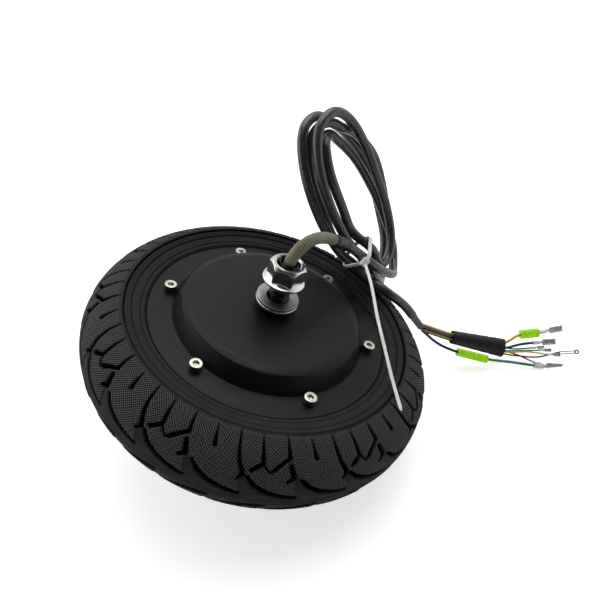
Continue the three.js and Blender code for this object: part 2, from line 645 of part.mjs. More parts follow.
// Long open terminal that ends in an eye.
function eyeTerminalGeometry() {
  const crimp = new THREE.CylinderGeometry(0.9, 0.9, 3, 6).rotateZ(Math.PI / 2).translate(1.5, 0, 0);
  const rails = [-1, 1].map((side) => block(13, 0.6, 0.6, [8.9, side * 0.8, 0]));
  const bridge = block(0.8, 2.2, 0.6, [2.9, 0, 0]);
  const eye = turned([[0.9, -0.3], [1.7, -0.3], [1.7, 0.3], [0.9, 0.3]], 12);
  eye.rotateX(Math.PI / 2).translate(16.4, 0, 0);
  return joined(crimp, ...rails, bridge, eye);
}

// Each terminal: its shape, the point where its crimp starts and a point it is aimed at.
const TERMINALS = {
  phase_terminal_yellow: [bladeTerminalGeometry(1), vec(205.4, -13.9, -12.3), vec(222.9, -20, -14.4)],
  phase_terminal_blue: [bladeTerminalGeometry(1), vec(200.1, -7.6, -16.5), vec(221.9, -12.8, -20.6)],
  phase_terminal_green: [bladeTerminalGeometry(1.2), vec(198, 1.7, -29.7), vec(223.4, -2.2, -37.1)],
  hall_terminal_blue: [bladeTerminalGeometry(0.55), vec(204.4, -1.6, -16.1), vec(215, -4, -18)],
  hall_terminal_green: [bladeTerminalGeometry(0.55), vec(207, -3.3, -20.1), vec(217, -5, -22)],
  hall_terminal_yellow: [bladeTerminalGeometry(0.55), vec(207.4, -5.9, -26.4), vec(217, -8, -29.6)],
  hall_terminal_red: [bladeTerminalGeometry(0.55), vec(199.7, 2.5, -25.1), vec(208, 2.2, -31)],
  hall_terminal_black: [eyeTerminalGeometry(), vec(216.5, -5.8, -25.7), vec(235, -10.3, -29.4)],
};

function addWires() {
  Object.entries(WIRES).forEach(([name, wire]) => {
    const radius = name.startsWith("phase") ? PHASE_WIRE_RADIUS : HALL_WIRE_RADIUS;
    piece(stator, name, wireGeometry(wire, radius), WIRE_LOOK[name.split("_").at(-1)]);
  });
  piece(stator, "phase_wire_green", greenPhaseWireGeometry(), WIRE_LOOK.green);
  piece(stator, "harness_shrink", shrinkGeometry(), FINISH.sheath);
  piece(stator, "terminal_cover_yellow", terminalCoverGeometry(YELLOW_COVER, 6.2), FINISH.lime);
  piece(stator, "terminal_cover_green", terminalCoverGeometry(GREEN_COVER, 5.6), FINISH.lime);
}

function addTerminals() {
  Object.entries(TERMINALS).forEach(([name, [geometry, from, aim]]) => {
    piece(stator, name, geometry.applyMatrix4(frameAlong(from, aim)), FINISH.tin);
  });
}

// ---------------------------------------------------------------- assembly

function addWheel() {
  piece(wheel, "tyre", tyreGeometry(), FINISH.tyre);
  piece(wheel, "rim", rimGeometry(), FINISH.aluminium);
  piece(wheel, "flux_ring", fluxRingGeometry(), FINISH.steel);
  piece(wheel, "magnet_ring", magnetRingGeometry(), FINISH.magnet);
  piece(wheel, "front_cover", coverGeometry(FRONT), FINISH.satinBlack);
  piece(wheel, "rear_cover", coverGeometry(REAR), FINISH.satinBlack);
  addScrews(FRONT, "front");
  addScrews(REAR, "rear");
  piece(wheel, "front_bearing_outer", outerRaceGeometry(FRONT), FINISH.steel);
  piece(wheel, "rear_bearing_outer", outerRaceGeometry(REAR), FINISH.steel);
}

function addStator() {
  piece(stator, "axle", axleGeometry(), FINISH.darkSteel);
  piece(stator, "stator_hub", statorHubGeometry(), FINISH.aluminium);
  piece(stator, "stator_core", statorCoreGeometry(), FINISH.lamination);
  ["a", "b", "c"].forEach((phase, i) => {
    piece(stator, `winding_${phase}`, windingGeometry(i), FINISH.copper);
  });
  piece(stator, "hall_board", hallBoardGeometry(), FINISH.board);
  piece(stator, "front_bearing_inner", innerRaceGeometry(FRONT), FINISH.steel);
  piece(stator, "rear_bearing_inner", innerRaceGeometry(REAR), FINISH.steel);
  const seat = AXLE.shoulder + SEAT_GAP;
  const outerSeat = seat + WASHER.thickness + SEAT_GAP;
  [[FRONT, "front"], [REAR, "rear"]].forEach(([side, name]) => {
    piece(stator, `${name}_washer_inner`, washerGeometry(side, seat, WASHER.inner), FINISH.chrome);
    piece(stator, `${name}_washer_outer`, washerGeometry(side, outerSeat, WASHER.outer), FINISH.zinc);
  });
}

function addCable() {
  piece(stator, "fibreglass_sleeve", tube(SLEEVE_PATH, SLEEVE_RADIUS, 8, 16), FINISH.glassSleeve);
  piece(stator, "cable_sheath", tube(sheathPath(), SHEATH_RADIUS, 6, 168), FINISH.sheath);
  piece(stator, "sheath_collar", collarGeometry(), FINISH.sheath);
  piece(stator, "cable_tie", tieGeometry(), FINISH.nylon);
}

function addLooseParts() {
  [[FRONT, "front"], [REAR, "rear"]].forEach(([side, name]) => {
    piece(looseParts, `${name}_bearing_balls`, ballSetGeometry(side), FINISH.steel);
    piece(looseParts, `${name}_axle_nut`, nutGeometry(side), FINISH.chrome);
  });
}

addWheel();
addStator();
addCable();
addWires();
addTerminals();
addLooseParts();

const hubMotorWheel = new THREE.Group();
hubMotorWheel.add(wheel, stator, looseParts);

export default hubMotorWheel;
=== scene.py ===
import json
import math

import bpy
import numpy as np
from mathutils import Matrix, Vector


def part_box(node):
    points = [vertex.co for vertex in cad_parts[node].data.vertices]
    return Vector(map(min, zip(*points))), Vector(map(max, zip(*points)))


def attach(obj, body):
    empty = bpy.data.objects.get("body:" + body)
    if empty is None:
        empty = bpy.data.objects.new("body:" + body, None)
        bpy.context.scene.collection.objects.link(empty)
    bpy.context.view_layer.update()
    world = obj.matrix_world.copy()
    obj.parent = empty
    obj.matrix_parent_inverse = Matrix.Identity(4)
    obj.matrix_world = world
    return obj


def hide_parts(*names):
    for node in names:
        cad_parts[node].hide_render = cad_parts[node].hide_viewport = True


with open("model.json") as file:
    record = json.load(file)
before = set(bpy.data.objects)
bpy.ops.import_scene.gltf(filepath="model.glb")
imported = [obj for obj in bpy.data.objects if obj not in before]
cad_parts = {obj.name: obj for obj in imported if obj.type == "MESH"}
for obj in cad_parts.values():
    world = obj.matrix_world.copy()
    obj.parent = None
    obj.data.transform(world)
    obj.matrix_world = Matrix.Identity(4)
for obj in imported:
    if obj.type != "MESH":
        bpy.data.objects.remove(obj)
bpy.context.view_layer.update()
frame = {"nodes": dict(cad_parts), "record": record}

# Hub motor wheel. Meshes are worked out in millimetres in the CAD frame and stored in metres.
# The wheel turns about Y; the cable side faces -Y ("front").
MM = 0.001
TAU = 2 * math.pi
FRONT, REAR = -1, 1
NO_TRIANGLES = np.zeros((0, 3), int)

# ---- mesh helpers


def outwards(points, quads, triangles):
    """The faces of a closed body, turned so that their normals point outwards."""
    split = np.concatenate([quads[:, [0, 1, 2]], quads[:, [0, 2, 3]], triangles])
    a, b, c = (points[split[:, i]] for i in range(3))
    if np.einsum("ij,ij->i", a, np.cross(b, c)).sum() < 0:
        return quads[:, ::-1], triangles[:, ::-1]
    return quads, triangles


def grid_quads(rows, columns, joined=False):
    """Quads of a grid whose columns go all the way round; joined rows do too."""
    r = np.arange(rows if joined else rows - 1)[:, None]
    c = np.arange(columns)[None, :]
    right = (c + 1) % columns
    below = (r + 1) % rows
    corners = [r * columns + c, r * columns + right, below * columns + right, below * columns + c]
    return np.stack([np.broadcast_to(x, (len(r), columns)).ravel() for x in corners], 1)


def fan(ring, centre):
    """Triangles joining a ring of vertices to one centre vertex."""
    return np.stack([ring, np.roll(ring, -1), np.full(len(ring), centre)], 1)


def end_caps(count, columns):
    """Triangles closing a stack of rings of `count` vertices, whose two tips follow them."""
    return np.concatenate([fan(np.arange(columns)[::-1], count),
                           fan(np.arange(count - columns, count), count + 1)])


def new_mesh(name, points, quads, triangles=NO_TRIANGLES, sharp=35):
    """A mesh from arrays in millimetres, faces turned outwards and smooth except at sharp edges."""
    quads, triangles = outwards(points, quads, triangles)
    mesh = bpy.data.meshes.new(name)
    mesh.vertices.add(len(points))
    mesh.vertices.foreach_set("co", (points * MM).astype(np.float32).ravel())
    loops = np.concatenate([quads.ravel(), triangles.ravel()]).astype(np.int32)
    sizes = np.concatenate([np.full(len(quads), 4), np.full(len(triangles), 3)])
    starts = np.concatenate([[0], np.cumsum(sizes)[:-1]]).astype(np.int32)
    mesh.loops.add(len(loops))
    mesh.loops.foreach_set("vertex_index", loops)
    mesh.polygons.add(len(sizes))
    mesh.polygons.foreach_set("loop_start", starts)
    mesh.polygons.foreach_set("use_smooth", np.ones(len(sizes), bool))
    mesh.update(calc_edges=True)
    mesh.validate()
    mesh.set_sharp_from_angle(angle=math.radians(sharp))
    return mesh


def capped_rings(rows, tips=None):
    """Vertices, quads and end caps of a stack of rings; its tips are the end rings' centres or given."""
    count, sides = rows.shape[:2]
    tips = np.array([rows[0].mean(0), rows[-1].mean(0)]) if tips is None else tips
    points = np.vstack([rows.reshape(-1, 3), tips])
    return points, grid_quads(count, sides)[:, ::-1], end_caps(count * sides, sides)


def paint(mesh, label, values):
    """Stores a number per vertex, for the materials to read."""
    layer = mesh.attributes.new(label, "FLOAT", "POINT")
    layer.data.foreach_set("value", np.asarray(values, np.float32).ravel())


def add_object(name, data):
    item = bpy.data.objects.new(name, data)
    bpy.context.scene.collection.objects.link(item)
    return item


def rounded(corners, steps=5):
    """A closed outline from (x, y, fillet) corners, each fillet drawn as a short curve."""
    outline = []
    for i, (x, y, fillet) in enumerate(corners):
        here = np.array([x, y], float)
        if fillet == 0:
            outline.append(here)
            continue
        before = np.array(corners[i - 1][:2], float) - here
        after = np.array(corners[(i + 1) % len(corners)][:2], float) - here
        reach = min(fillet, 0.48 * np.linalg.norm(before), 0.48 * np.linalg.norm(after))
        start = here + before / np.linalg.norm(before) * reach
        end = here + after / np.linalg.norm(after) * reach
        for t in np.linspace(0, 1, steps):
            outline.append((1 - t) ** 2 * start + 2 * t * (1 - t) * here + t * t * end)
    return np.array(outline)


def revolve(radii, heights, angles):
    """Grid points from radii (rows x columns), heights (rows) and the columns' angles."""
    radii = np.broadcast_to(radii, (len(heights), len(angles)))
    x = radii * np.cos(angles)
    z = radii * np.sin(angles)
    y = np.broadcast_to(np.asarray(heights, float)[:, None], radii.shape)
    return np.stack([x, y, z], -1).reshape(-1, 3)


def column_angles(columns):
    return np.arange(columns) / columns * TAU


def turned(name, outline, side, columns, sharp=35):
    """A ring turned about Y from a closed outline of (radius, distance from the mid-plane)."""
    points = revolve(outline[:, :1], side * outline[:, 1], column_angles(columns))
    return new_mesh(name, points, grid_quads(len(outline), columns, joined=True), sharp=sharp)


# ---- paths read from the CAD

CREASE_COSINE = 0.2  # faces that turn more than this meet at a tube's end
SAME_END = 1.5  # mm between the centres of an end's inner and outer rim
CURVE_STEPS = 12


def cad_arrays(node):
    """Welded vertices in millimetres and triangles of a CAD node."""
    mesh = frame["nodes"][node].data
    mesh.calc_loop_triangles()
    flat = np.empty(len(mesh.vertices) * 3, np.float32)
    mesh.vertices.foreach_get("co", flat)
    corners = np.empty(len(mesh.loop_triangles) * 3, np.int32)
    mesh.loop_triangles.foreach_get("vertices", corners)
    points, index = np.unique(np.round(flat.reshape(-1, 3) / MM, 3), axis=0, return_inverse=True)
    return points, index.ravel()[corners].reshape(-1, 3)


def rim_loops(points, triangles):
    """Vertex loops where the surface turns by a right angle, as it does at a tube's ends."""
    normals = np.cross(points[triangles[:, 1]] - points[triangles[:, 0]],
                       points[triangles[:, 2]] - points[triangles[:, 0]])
    normals /= np.linalg.norm(normals, axis=1, keepdims=True) + 1e-12
    sides = {}
    for i, corners in enumerate(triangles):
        for a, b in zip(corners, np.roll(corners, -1)):
            sides.setdefault((min(a, b), max(a, b)), []).append(i)
    joined = {}
    for (a, b), faces in sides.items():
        if len(faces) == 2 and normals[faces[0]] @ normals[faces[1]] < CREASE_COSINE:
            joined.setdefault(a, set()).add(b)
            joined.setdefault(b, set()).add(a)
    loops, seen = [], set()
    for first in sorted(joined):
        if first in seen:
            continue
        loop, waiting = [], [first]
        seen.add(first)
        while waiting:
            here = waiting.pop()
            loop.append(here)
            fresh = sorted(joined[here] - seen)
            seen.update(fresh)
            waiting.extend(fresh)
        loops.append(np.array(loop))
    return loops


def centreline(node, near):
    """Centre of each cross-section ring of a CAD tube, from the end nearest a point."""
    points, triangles = cad_arrays(node)
    ends = [(points[loop].mean(0), loop) for loop in rim_loops(points, triangles)]
    start = min(ends, key=lambda end: np.linalg.norm(end[0] - near))[0]
    level = np.full(len(points), -1)
    for centre, loop in ends:
        if np.linalg.norm(centre - start) < SAME_END:
            level[loop] = 0
    edges = np.concatenate([triangles[:, [0, 1]], triangles[:, [1, 2]], triangles[:, [2, 0]]])
    edges = np.concatenate([edges, edges[:, ::-1]])
    step = 0
    while (level < 0).any():
        reached = edges[(level[edges[:, 0]] == step) & (level[edges[:, 1]] < 0), 1]
        if len(reached) == 0:
            break
        step += 1
        level[reached] = step
    return np.array([points[level == i].mean(0) for i in range(step + 1)])


def smooth_path(points, spacing, softness=0.0):
    """Points every `spacing` along a smooth curve through the given points."""
    padded = np.vstack([2 * points[0] - points[1], points, 2 * points[-1] - points[-2]])
    t = np.linspace(0, 1, CURVE_STEPS, endpoint=False)[:, None]
    dense = []
    for a, b, c, d in zip(padded, padded[1:], padded[2:], padded[3:]):
        dense.append(0.5 * (2 * b + (c - a) * t + (2 * a - 5 * b + 4 * c - d) * t ** 2
                            + (3 * b - a - 3 * c + d) * t ** 3))
    dense = np.vstack([*dense, points[-1:]])
    along = np.concatenate([[0], np.cumsum(np.linalg.norm(np.diff(dense, axis=0), axis=1))])
    count = max(2, int(round(along[-1] / spacing)) + 1)
    wanted = np.linspace(0, along[-1], count)
    path = np.stack([np.interp(wanted, along, dense[:, i]) for i in range(3)], 1)
    if softness:
        reach = int(3 * softness / spacing)
        weights = np.exp(-0.5 * (np.arange(-reach, reach + 1) * spacing / softness) ** 2)
        weights /= weights.sum()
        longer = np.vstack([2 * path[0] - path[reach:0:-1], path, 2 * path[-1] - path[-2:-reach - 2:-1]])
        path = np.stack([np.convolve(longer[:, i], weights, "valid") for i in range(3)], 1)
    return path


def path_frames(path):
    """Tangent, normal and binormal at each path point, carried along without twist."""
    tangents = np.gradient(path, axis=0)
    tangents /= np.linalg.norm(tangents, axis=1, keepdims=True)
    helper = np.eye(3)[np.argmin(np.abs(tangents[0]))]
    normal = np.cross(tangents[0], helper)
    normals = []
    for tangent in tangents:
        normal = normal - (normal @ tangent) * tangent
        normal /= np.linalg.norm(normal)
        normals.append(normal)
    normals = np.array(normals)
    return tangents, normals, np.cross(tangents, normals)


def tube(name, path, radius, sides, sharp=50):
    """A bar along a path with domed ends; radius is a number or a rows x sides array."""
    tangents, normals, binormals = path_frames(path)
    phi = column_angles(sides)[None, :, None]
    radii = np.broadcast_to(radius, (len(path), sides))[..., None]
    rings = path[:, None] + radii * (np.cos(phi) * normals[:, None] + np.sin(phi) * binormals[:, None])
    inset, rise, tip_rise = 0.8, 0.2, 0.28 * radii.mean()  # shape of the domes, in radii
    first = path[0] + inset * (rings[0] - path[0]) - rise * radii[0] * tangents[0]
    last = path[-1] + inset * (rings[-1] - path[-1]) + rise * radii[-1] * tangents[-1]
    rows = np.concatenate([first[None], rings, last[None]])
    tips = np.array([path[0] - tip_rise * tangents[0], path[-1] + tip_rise * tangents[-1]])
    return new_mesh(name, *capped_rings(rows, tips), sharp)


# ---- material helpers


class Nodes:
    """The node tree of a material or world under construction."""

    def __init__(self, owner):
        owner.use_nodes = True
        self.tree = owner.node_tree

    def add(self, kind, inputs=None, **settings):
        node = self.tree.nodes.new(kind)
        for key, value in settings.items():
            setattr(node, key, value)
        for key, value in (inputs or {}).items():
            self.put(node.inputs[key], value)
        return node

    def put(self, socket, value):
        if isinstance(value, bpy.types.NodeSocket):
            self.tree.links.new(value, socket)
        else:
            socket.default_value = value

    def math(self, operation, a, b=0.0):
        return self.add("ShaderNodeMath", {0: a, 1: b}, operation=operation).outputs[0]

    def span(self, value, low, high, start=0.0, end=1.0, **settings):
        return self.add("ShaderNodeMapRange", {
            "Value": value, "From Min": low, "From Max": high,
            "To Min": start, "To Max": end}, **settings).outputs["Result"]


class Look(Nodes):
    """A node material under construction; the methods that add nodes return an output socket."""

    def __init__(self, name):
        self.material = bpy.data.materials.new(name)
        super().__init__(self.material)
        self.shader = self.tree.nodes["Principled BSDF"]
        self.position = self.add("ShaderNodeTexCoord").outputs["Object"]

    def attribute(self, name):
        return self.add("ShaderNodeAttribute", attribute_name=name).outputs["Fac"]

    def tint(self, socket, colour):
        self.put(socket, (*colour, 1) if isinstance(colour, tuple) else colour)

    def noise(self, per_metre, detail, where=None, distortion=0.0):
        return self.add("ShaderNodeTexNoise", {
            "Vector": where or self.position, "Scale": per_metre, "Detail": detail,
            "Roughness": 0.55, "Distortion": distortion}).outputs["Fac"]

    def bands(self, direction, **inputs):
        named = {key.replace("_", " "): value for key, value in inputs.items()}
        return self.add("ShaderNodeTexWave", named, wave_type="BANDS",
                        bands_direction=direction).outputs["Fac"]

    def mix(self, factor, a, b):
        node = self.add("ShaderNodeMix", data_type="RGBA")
        self.put(node.inputs["Factor"], factor)
        self.tint(node.inputs[6], a)
        self.tint(node.inputs[7], b)
        return node.outputs[2]

    def uneven(self, per_metre, detail, start, end):
        """Gloss or tone that drifts between two values."""
        return self.span(self.noise(per_metre, detail), 0.3, 0.7, start, end)

    def stretched(self, x, y, z):
        return self.add("ShaderNodeVectorMath", {0: self.position, 1: (x, y, z)},
                        operation="MULTIPLY").outputs[0]

    def wheel_polar(self, radial, round_about, axial=0.0):
        """Scaled (distance from the spin axis, angle about it, height along it)."""
        x, y, z = self.add("ShaderNodeSeparateXYZ", {0: self.position}).outputs
        squares = self.math("ADD", self.math("MULTIPLY", x, x), self.math("MULTIPLY", z, z))
        radius = self.math("SQRT", squares)
        angle = self.math("ARCTAN2", z, x)
        return self.add("ShaderNodeCombineXYZ", {
            0: self.math("MULTIPLY", radius, radial), 1: self.math("MULTIPLY", angle, round_about),
            2: self.math("MULTIPLY", y, axial)}).outputs[0]

    def bump(self, height, depth_mm, normal=None):
        inputs = {"Height": height, "Distance": depth_mm * MM, "Strength": 1.0}
        if normal is not None:
            inputs["Normal"] = normal
        return self.add("ShaderNodeBump", inputs).outputs["Normal"]

    def finish(self, colour, roughness, metallic, normal, **more):
        """Sets the shader's inputs, named with underscores for spaces, and gives the material."""
        self.tint(self.shader.inputs["Base Color"], colour)
        settings = {"Roughness": roughness, "Metallic": metallic, "Normal": normal, **more}
        for key, value in settings.items():
            self.put(self.shader.inputs[key.replace("_", " ")], value)
        return self.material


def mottled(name, dark, light, roughness, metallic, blotch, grain, depth, **more):
    """Finish with blotches of two close colours, fine grain in the bump and uneven gloss."""
    look = Look(name)
    fine = look.noise(grain, 2)
    colour = look.mix(look.span(look.noise(blotch, 4), 0.35, 0.65), dark, light)
    gloss = look.uneven(blotch * 4, 3, roughness - 0.06, roughness + 0.06)
    return look.finish(colour, gloss, metallic, look.bump(fine, depth), **more)


def turned_metal(name, dark, light, roughness, rings, depth):
    """Metal finished on a lathe: fine rings about the spin axis, with a few stains."""
    look = Look(name)
    marks = look.noise(1.0, 3, where=look.wheel_polar(rings, 1.5, rings))
    colour = look.mix(look.span(look.noise(150, 4), 0.35, 0.7), light, dark)
    gloss = look.span(marks, 0.3, 0.7, roughness * 0.75, roughness * 1.25)
    return look.finish(colour, gloss, 1.0, look.bump(marks, depth))


# ---- materials

RUBBER_DARK, RUBBER_LIGHT = (0.0115, 0.0115, 0.012), (0.0175, 0.0175, 0.018)
HATCH_DEPTH = 0.5
HATCH_TURNS, HATCH_MM = 400, 1.41  # pitches round the tyre; pitch across it


def tyre_look():
    """Matt rubber; the tread blocks carry a fine diamond hatch laid out in the UV map, with painted
    highlights on its ridges and painted shade in its pits; the deep grooves are painted black as painted
    shade too.
    """
    look = Look("tyre_rubber")
    uv = look.add("ShaderNodeUVMap", uv_map="tread")
    x, y = look.add("ShaderNodeSeparateXYZ", {0: uv.outputs[0]}).outputs[:2]
    diagonals = look.math("ADD", x, y), look.math("SUBTRACT", x, y)
    ridges = [look.span(look.math("PINGPONG", diagonal, 0.5), 0.26, 0.40) for diagonal in diagonals]
    blocks = look.attribute("block")
    ridge = look.math("MAXIMUM", *ridges)
    hatch = look.math("MULTIPLY", ridge, blocks)
    pits = look.math("MULTIPLY", look.math("SUBTRACT", 1.0, ridge), blocks)
    fine = look.noise(2600, 3)
    mould = look.noise(1.0, 2, where=look.wheel_polar(2600, 2.0, 2600))
    dusty = look.span(look.noise(90, 4), 0.35, 0.7)
    colour = look.mix(dusty, RUBBER_DARK, RUBBER_LIGHT)
    # painted highlight: the ridges of the hatch are painted far lighter than the rubber
    raised = look.mix(hatch, colour, (0.108, 0.108, 0.109))
    # painted shade: the pits between the ridges are painted near black
    colour = look.mix(look.math("MULTIPLY", pits, 0.98), raised, (0.0005, 0.0005, 0.0005))
    # painted shade: deep tread grooves and sidewall creases are painted black by their depth
    groove_shade = look.attribute("groove_shade")
    colour = look.mix(groove_shade, colour, (0.001, 0.001, 0.001))
    hidden = look.math("MAXIMUM", pits, groove_shade)
    normal = look.bump(hatch, HATCH_DEPTH)
    normal = look.bump(look.math("ADD", fine, look.math("MULTIPLY", mould, 0.2)), 0.03, normal)
    gloss = look.uneven(300, 3, 0.62, 0.78)
    # the pits and deep grooves also lose their reflection, as painted shade
    return look.finish(colour, gloss, 0.0, normal,
                       Specular_IOR_Level=look.math("MULTIPLY", look.math("SUBTRACT", 1.0, hidden), 0.24))


def cover_look():
    """Satin black paint over a casting turned on a lathe: faint swirl marks and fine orange peel."""
    look = Look("cover_paint")
    swirl = look.noise(1.0, 4, where=look.wheel_polar(1500, 2.2, 1500))
    peel = look.noise(1400, 2)
    scuffs = look.noise(1.0, 5, where=look.stretched(260, 260, 900), distortion=0.8)
    haze = look.span(look.noise(45, 5), 0.35, 0.7)
    colour = look.mix(haze, (0.0045, 0.0047, 0.0055), (0.0085, 0.0088, 0.0098))
    gloss = look.math("ADD", look.span(swirl, 0.3, 0.7, 0.33, 0.47), look.span(scuffs, 0.55, 0.8, 0.0, 0.16))
    normal = look.bump(peel, 0.012)
    normal = look.bump(swirl, 0.006, normal)
    return look.finish(colour, gloss, 0.0, normal, Specular_IOR_Level=0.19)


def weave_look():
    """Olive glass-fibre braid: each strand's filaments, painted shade where the strands dip and stray tones.
    """
    look = Look("glass_weave")
    # painted shade: darker where the strands dip under each other and just past the wrap rings
    crossing = look.span(look.attribute("strand"), 0.0, 0.55, 0.85, 0.0)
    colour = look.mix(look.uneven(160, 3, 0.0, 1.0), (0.135, 0.127, 0.07), (0.24, 0.227, 0.132))
    colour = look.mix(crossing, colour, (0.022, 0.020, 0.012))
    return look.finish(colour, 0.62, 0.0, look.bump(look.noise(9000, 2), 0.04), Sheen_Weight=0.25)


def thread_look():
    """Blackened axle steel, oily in the thread and worn bright on its crests."""
    look = Look("axle_steel")
    oil = look.noise(420, 4)
    wear = look.math("MULTIPLY", look.span(look.attribute("crest"), 0.75, 1.0), look.span(oil, 0.35, 0.7))
    colour = look.mix(wear, (0.020, 0.018, 0.016), (0.20, 0.19, 0.18))
    gloss = look.span(oil, 0.3, 0.7, 0.28, 0.5)
    return look.finish(colour, gloss, 1.0, look.bump(look.noise(3000, 2), 0.015))


def lime_look():
    """Soft translucent lime cover with flow marks, glowing faintly in its own colour as painted light."""
    look = Look("lime_cover")
    flow = look.noise(260, 4, distortion=1.2)
    colour = look.mix(look.span(flow, 0.3, 0.7), (0.38, 0.80, 0.01), (0.60, 0.98, 0.04))
    # painted light: a faint emission in the cover's own colour
    return look.finish(colour, look.span(flow, 0.3, 0.7, 0.22, 0.34), 0.0,
                       look.bump(look.noise(900, 2), 0.03), Transmission_Weight=0.2, Subsurface_Weight=0.4,
                       Subsurface_Scale=0.004, Emission_Color=colour, Emission_Strength=0.12, IOR=1.45)


def green_wire_look():
    """Teal insulation, a dark navy up to the lime cover that is pushed along the wire."""
    look = Look("green_wire")
    x = look.add("ShaderNodeSeparateXYZ", {0: look.position}).outputs[0]
    tone = look.span(look.noise(200, 4), 0.35, 0.65)
    colour = look.mix(tone, (0.012, 0.19, 0.12), (0.03, 0.33, 0.22))
    colour = look.mix(look.span(x, 0.150, 0.156, 1.0, 0.0), colour, (0.012, 0.022, 0.075))
    gloss = look.span(tone, 0.0, 1.0, 0.36, 0.48)
    return look.finish(colour, gloss, 0.0, look.bump(look.noise(2500, 2), 0.015))


def laminated_look():
    """Stack of varnished steel sheets: thin dark joints across the stack."""
    look = Look("lamination_steel")
    sheets = look.bands("Y", Vector=look.position, Scale=320.0, Distortion=0.4, Detail=1.0)
    colour = look.mix(look.span(sheets, 0.1, 0.4), (0.05, 0.05, 0.055), (0.24, 0.25, 0.27))
    colour = look.mix(look.span(look.noise(120, 4), 0.5, 0.8), colour, (0.16, 0.11, 0.07))
    return look.finish(colour, 0.42, 0.9, look.bump(sheets, 0.08))


def copper_look():
    """Enamelled copper wire wound side by side, painted dark between the turns as painted shade."""
    look = Look("copper_wire")
    turns = look.bands("X", Vector=look.wheel_polar(1.0, 0.0), Scale=330.0, Distortion=1.2, Detail=2.0,
                       Detail_Scale=3.0)
    # painted shade: the colour darkens in the crevices between the turns
    colour = look.mix(look.span(turns, 0.1, 0.5), (0.10, 0.025, 0.008), (0.62, 0.22, 0.07))
    return look.finish(colour, look.uneven(350, 4, 0.22, 0.4), 0.85,
                       look.bump(turns, 0.25), Coat_Weight=0.4)


def board_look():
    """Green circuit board with paler copper tracks under the solder mask."""
    look = Look("circuit_board")
    tracks = look.add("ShaderNodeTexVoronoi", {"Vector": look.position, "Scale": 330.0},
                      feature="DISTANCE_TO_EDGE").outputs["Distance"]
    colour = look.mix(look.span(tracks, 0.03, 0.09), (0.06, 0.22, 0.07), (0.012, 0.075, 0.03))
    return look.finish(colour, look.uneven(500, 3, 0.25, 0.4), 0.0,
                       look.bump(tracks, 0.03), Coat_Weight=0.3)


SLOT_OF = {entry["node"]: entry["material_slot"] for entry in frame["record"]["subparts"]}

# dark tone, light tone, roughness, metallic, blotches per metre, grain per metre, grain depth in mm
MOTTLED = {
    "cast_aluminium": ((0.42, 0.43, 0.45), (0.6, 0.61, 0.63), 0.48, 1.0, 180, 1500, 0.08),
    "magnet_nickel": ((0.46, 0.45, 0.43), (0.6, 0.6, 0.61), 0.28, 1.0, 200, 3000, 0.01),
    "shrink_black": ((0.005, 0.005, 0.005), (0.009, 0.009, 0.0095), 0.44, 0.0, 90, 1200, 0.04),
    "tie_nylon": ((0.84, 0.84, 0.82), (0.94, 0.94, 0.92), 0.36, 0.0, 120, 1500, 0.02),
    "yellow_wire": ((0.70, 0.38, 0.015), (0.92, 0.58, 0.04), 0.42, 0.0, 200, 2500, 0.015),
    "blue_wire": ((0.012, 0.035, 0.11), (0.02, 0.065, 0.20), 0.42, 0.0, 200, 2500, 0.015),
    "red_wire": ((0.36, 0.02, 0.015), (0.55, 0.05, 0.03), 0.42, 0.0, 200, 2500, 0.015),
    "black_wire": ((0.012, 0.012, 0.012), (0.02, 0.02, 0.02), 0.42, 0.0, 200, 2500, 0.015),
    # tinned terminals: blotches from grey to near white, partly random tone and partly painted highlights and
    # shade on the crimps
    "tinned_terminal": ((0.52, 0.50, 0.47), (0.97, 0.96, 0.94), 0.4, 0.3, 420, 4000, 0.03),
    "dark_terminal": ((0.035, 0.034, 0.033), (0.12, 0.115, 0.11), 0.42, 0.4, 300, 4000, 0.02),
}
# dark tone, light tone, roughness, rings per metre, depth of the rings in mm
TURNED = {
    "bearing_steel": ((0.42, 0.42, 0.43), (0.66, 0.66, 0.68), 0.2, 9000, 0.01),
    "flux_steel": ((0.16, 0.15, 0.14), (0.36, 0.36, 0.37), 0.35, 3000, 0.03),
    "stainless_screw": ((0.42, 0.39, 0.33), (0.74, 0.71, 0.64), 0.24, 6000, 0.01),
    "bright_washer": ((0.72, 0.73, 0.75), (0.9, 0.91, 0.92), 0.2, 7000, 0.006),
    "zinc_washer": ((0.24, 0.25, 0.26), (0.40, 0.42, 0.43), 0.4, 5000, 0.012),
    "chrome_nut": ((0.66, 0.64, 0.62), (0.88, 0.88, 0.89), 0.15, 4000, 0.01),
}
LOOKS = {
    "tyre_rubber": tyre_look(),
    "cover_paint": cover_look(),
    "lamination_steel": laminated_look(),
    "copper_wire": copper_look(),
    "circuit_board": board_look(),
    "axle_steel": thread_look(),
    "glass_weave": weave_look(),
    "cable_pvc": mottled("cable_pvc", (0.028, 0.028, 0.0285), (0.042, 0.042, 0.0425), 0.27, 0.0,
                         60, 1800, 0.02, Specular_IOR_Level=0.8),
    "green_wire": green_wire_look(),
    "lime_cover": lime_look(),
    **{name: mottled(name, *values) for name, values in MOTTLED.items()},
    **{name: turned_metal(name, *values) for name, values in TURNED.items()},
}

for node_name, cad_object in frame["nodes"].items():
    cad_object.data.materials.clear()
    cad_object.data.materials.append(LOOKS[SLOT_OF[node_name]])
frame["nodes"]["hall_terminal_black"].data.materials[0] = LOOKS["dark_terminal"]


def add_piece(node, mesh, body="axle_assembly"):
    """Links a mesh as the visible piece that stands for one CAD node."""
    mesh.materials.append(LOOKS[SLOT_OF[node]])
    piece = add_object("v_" + node, mesh)
    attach(piece, body)
    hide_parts(node)


# ---- tyre

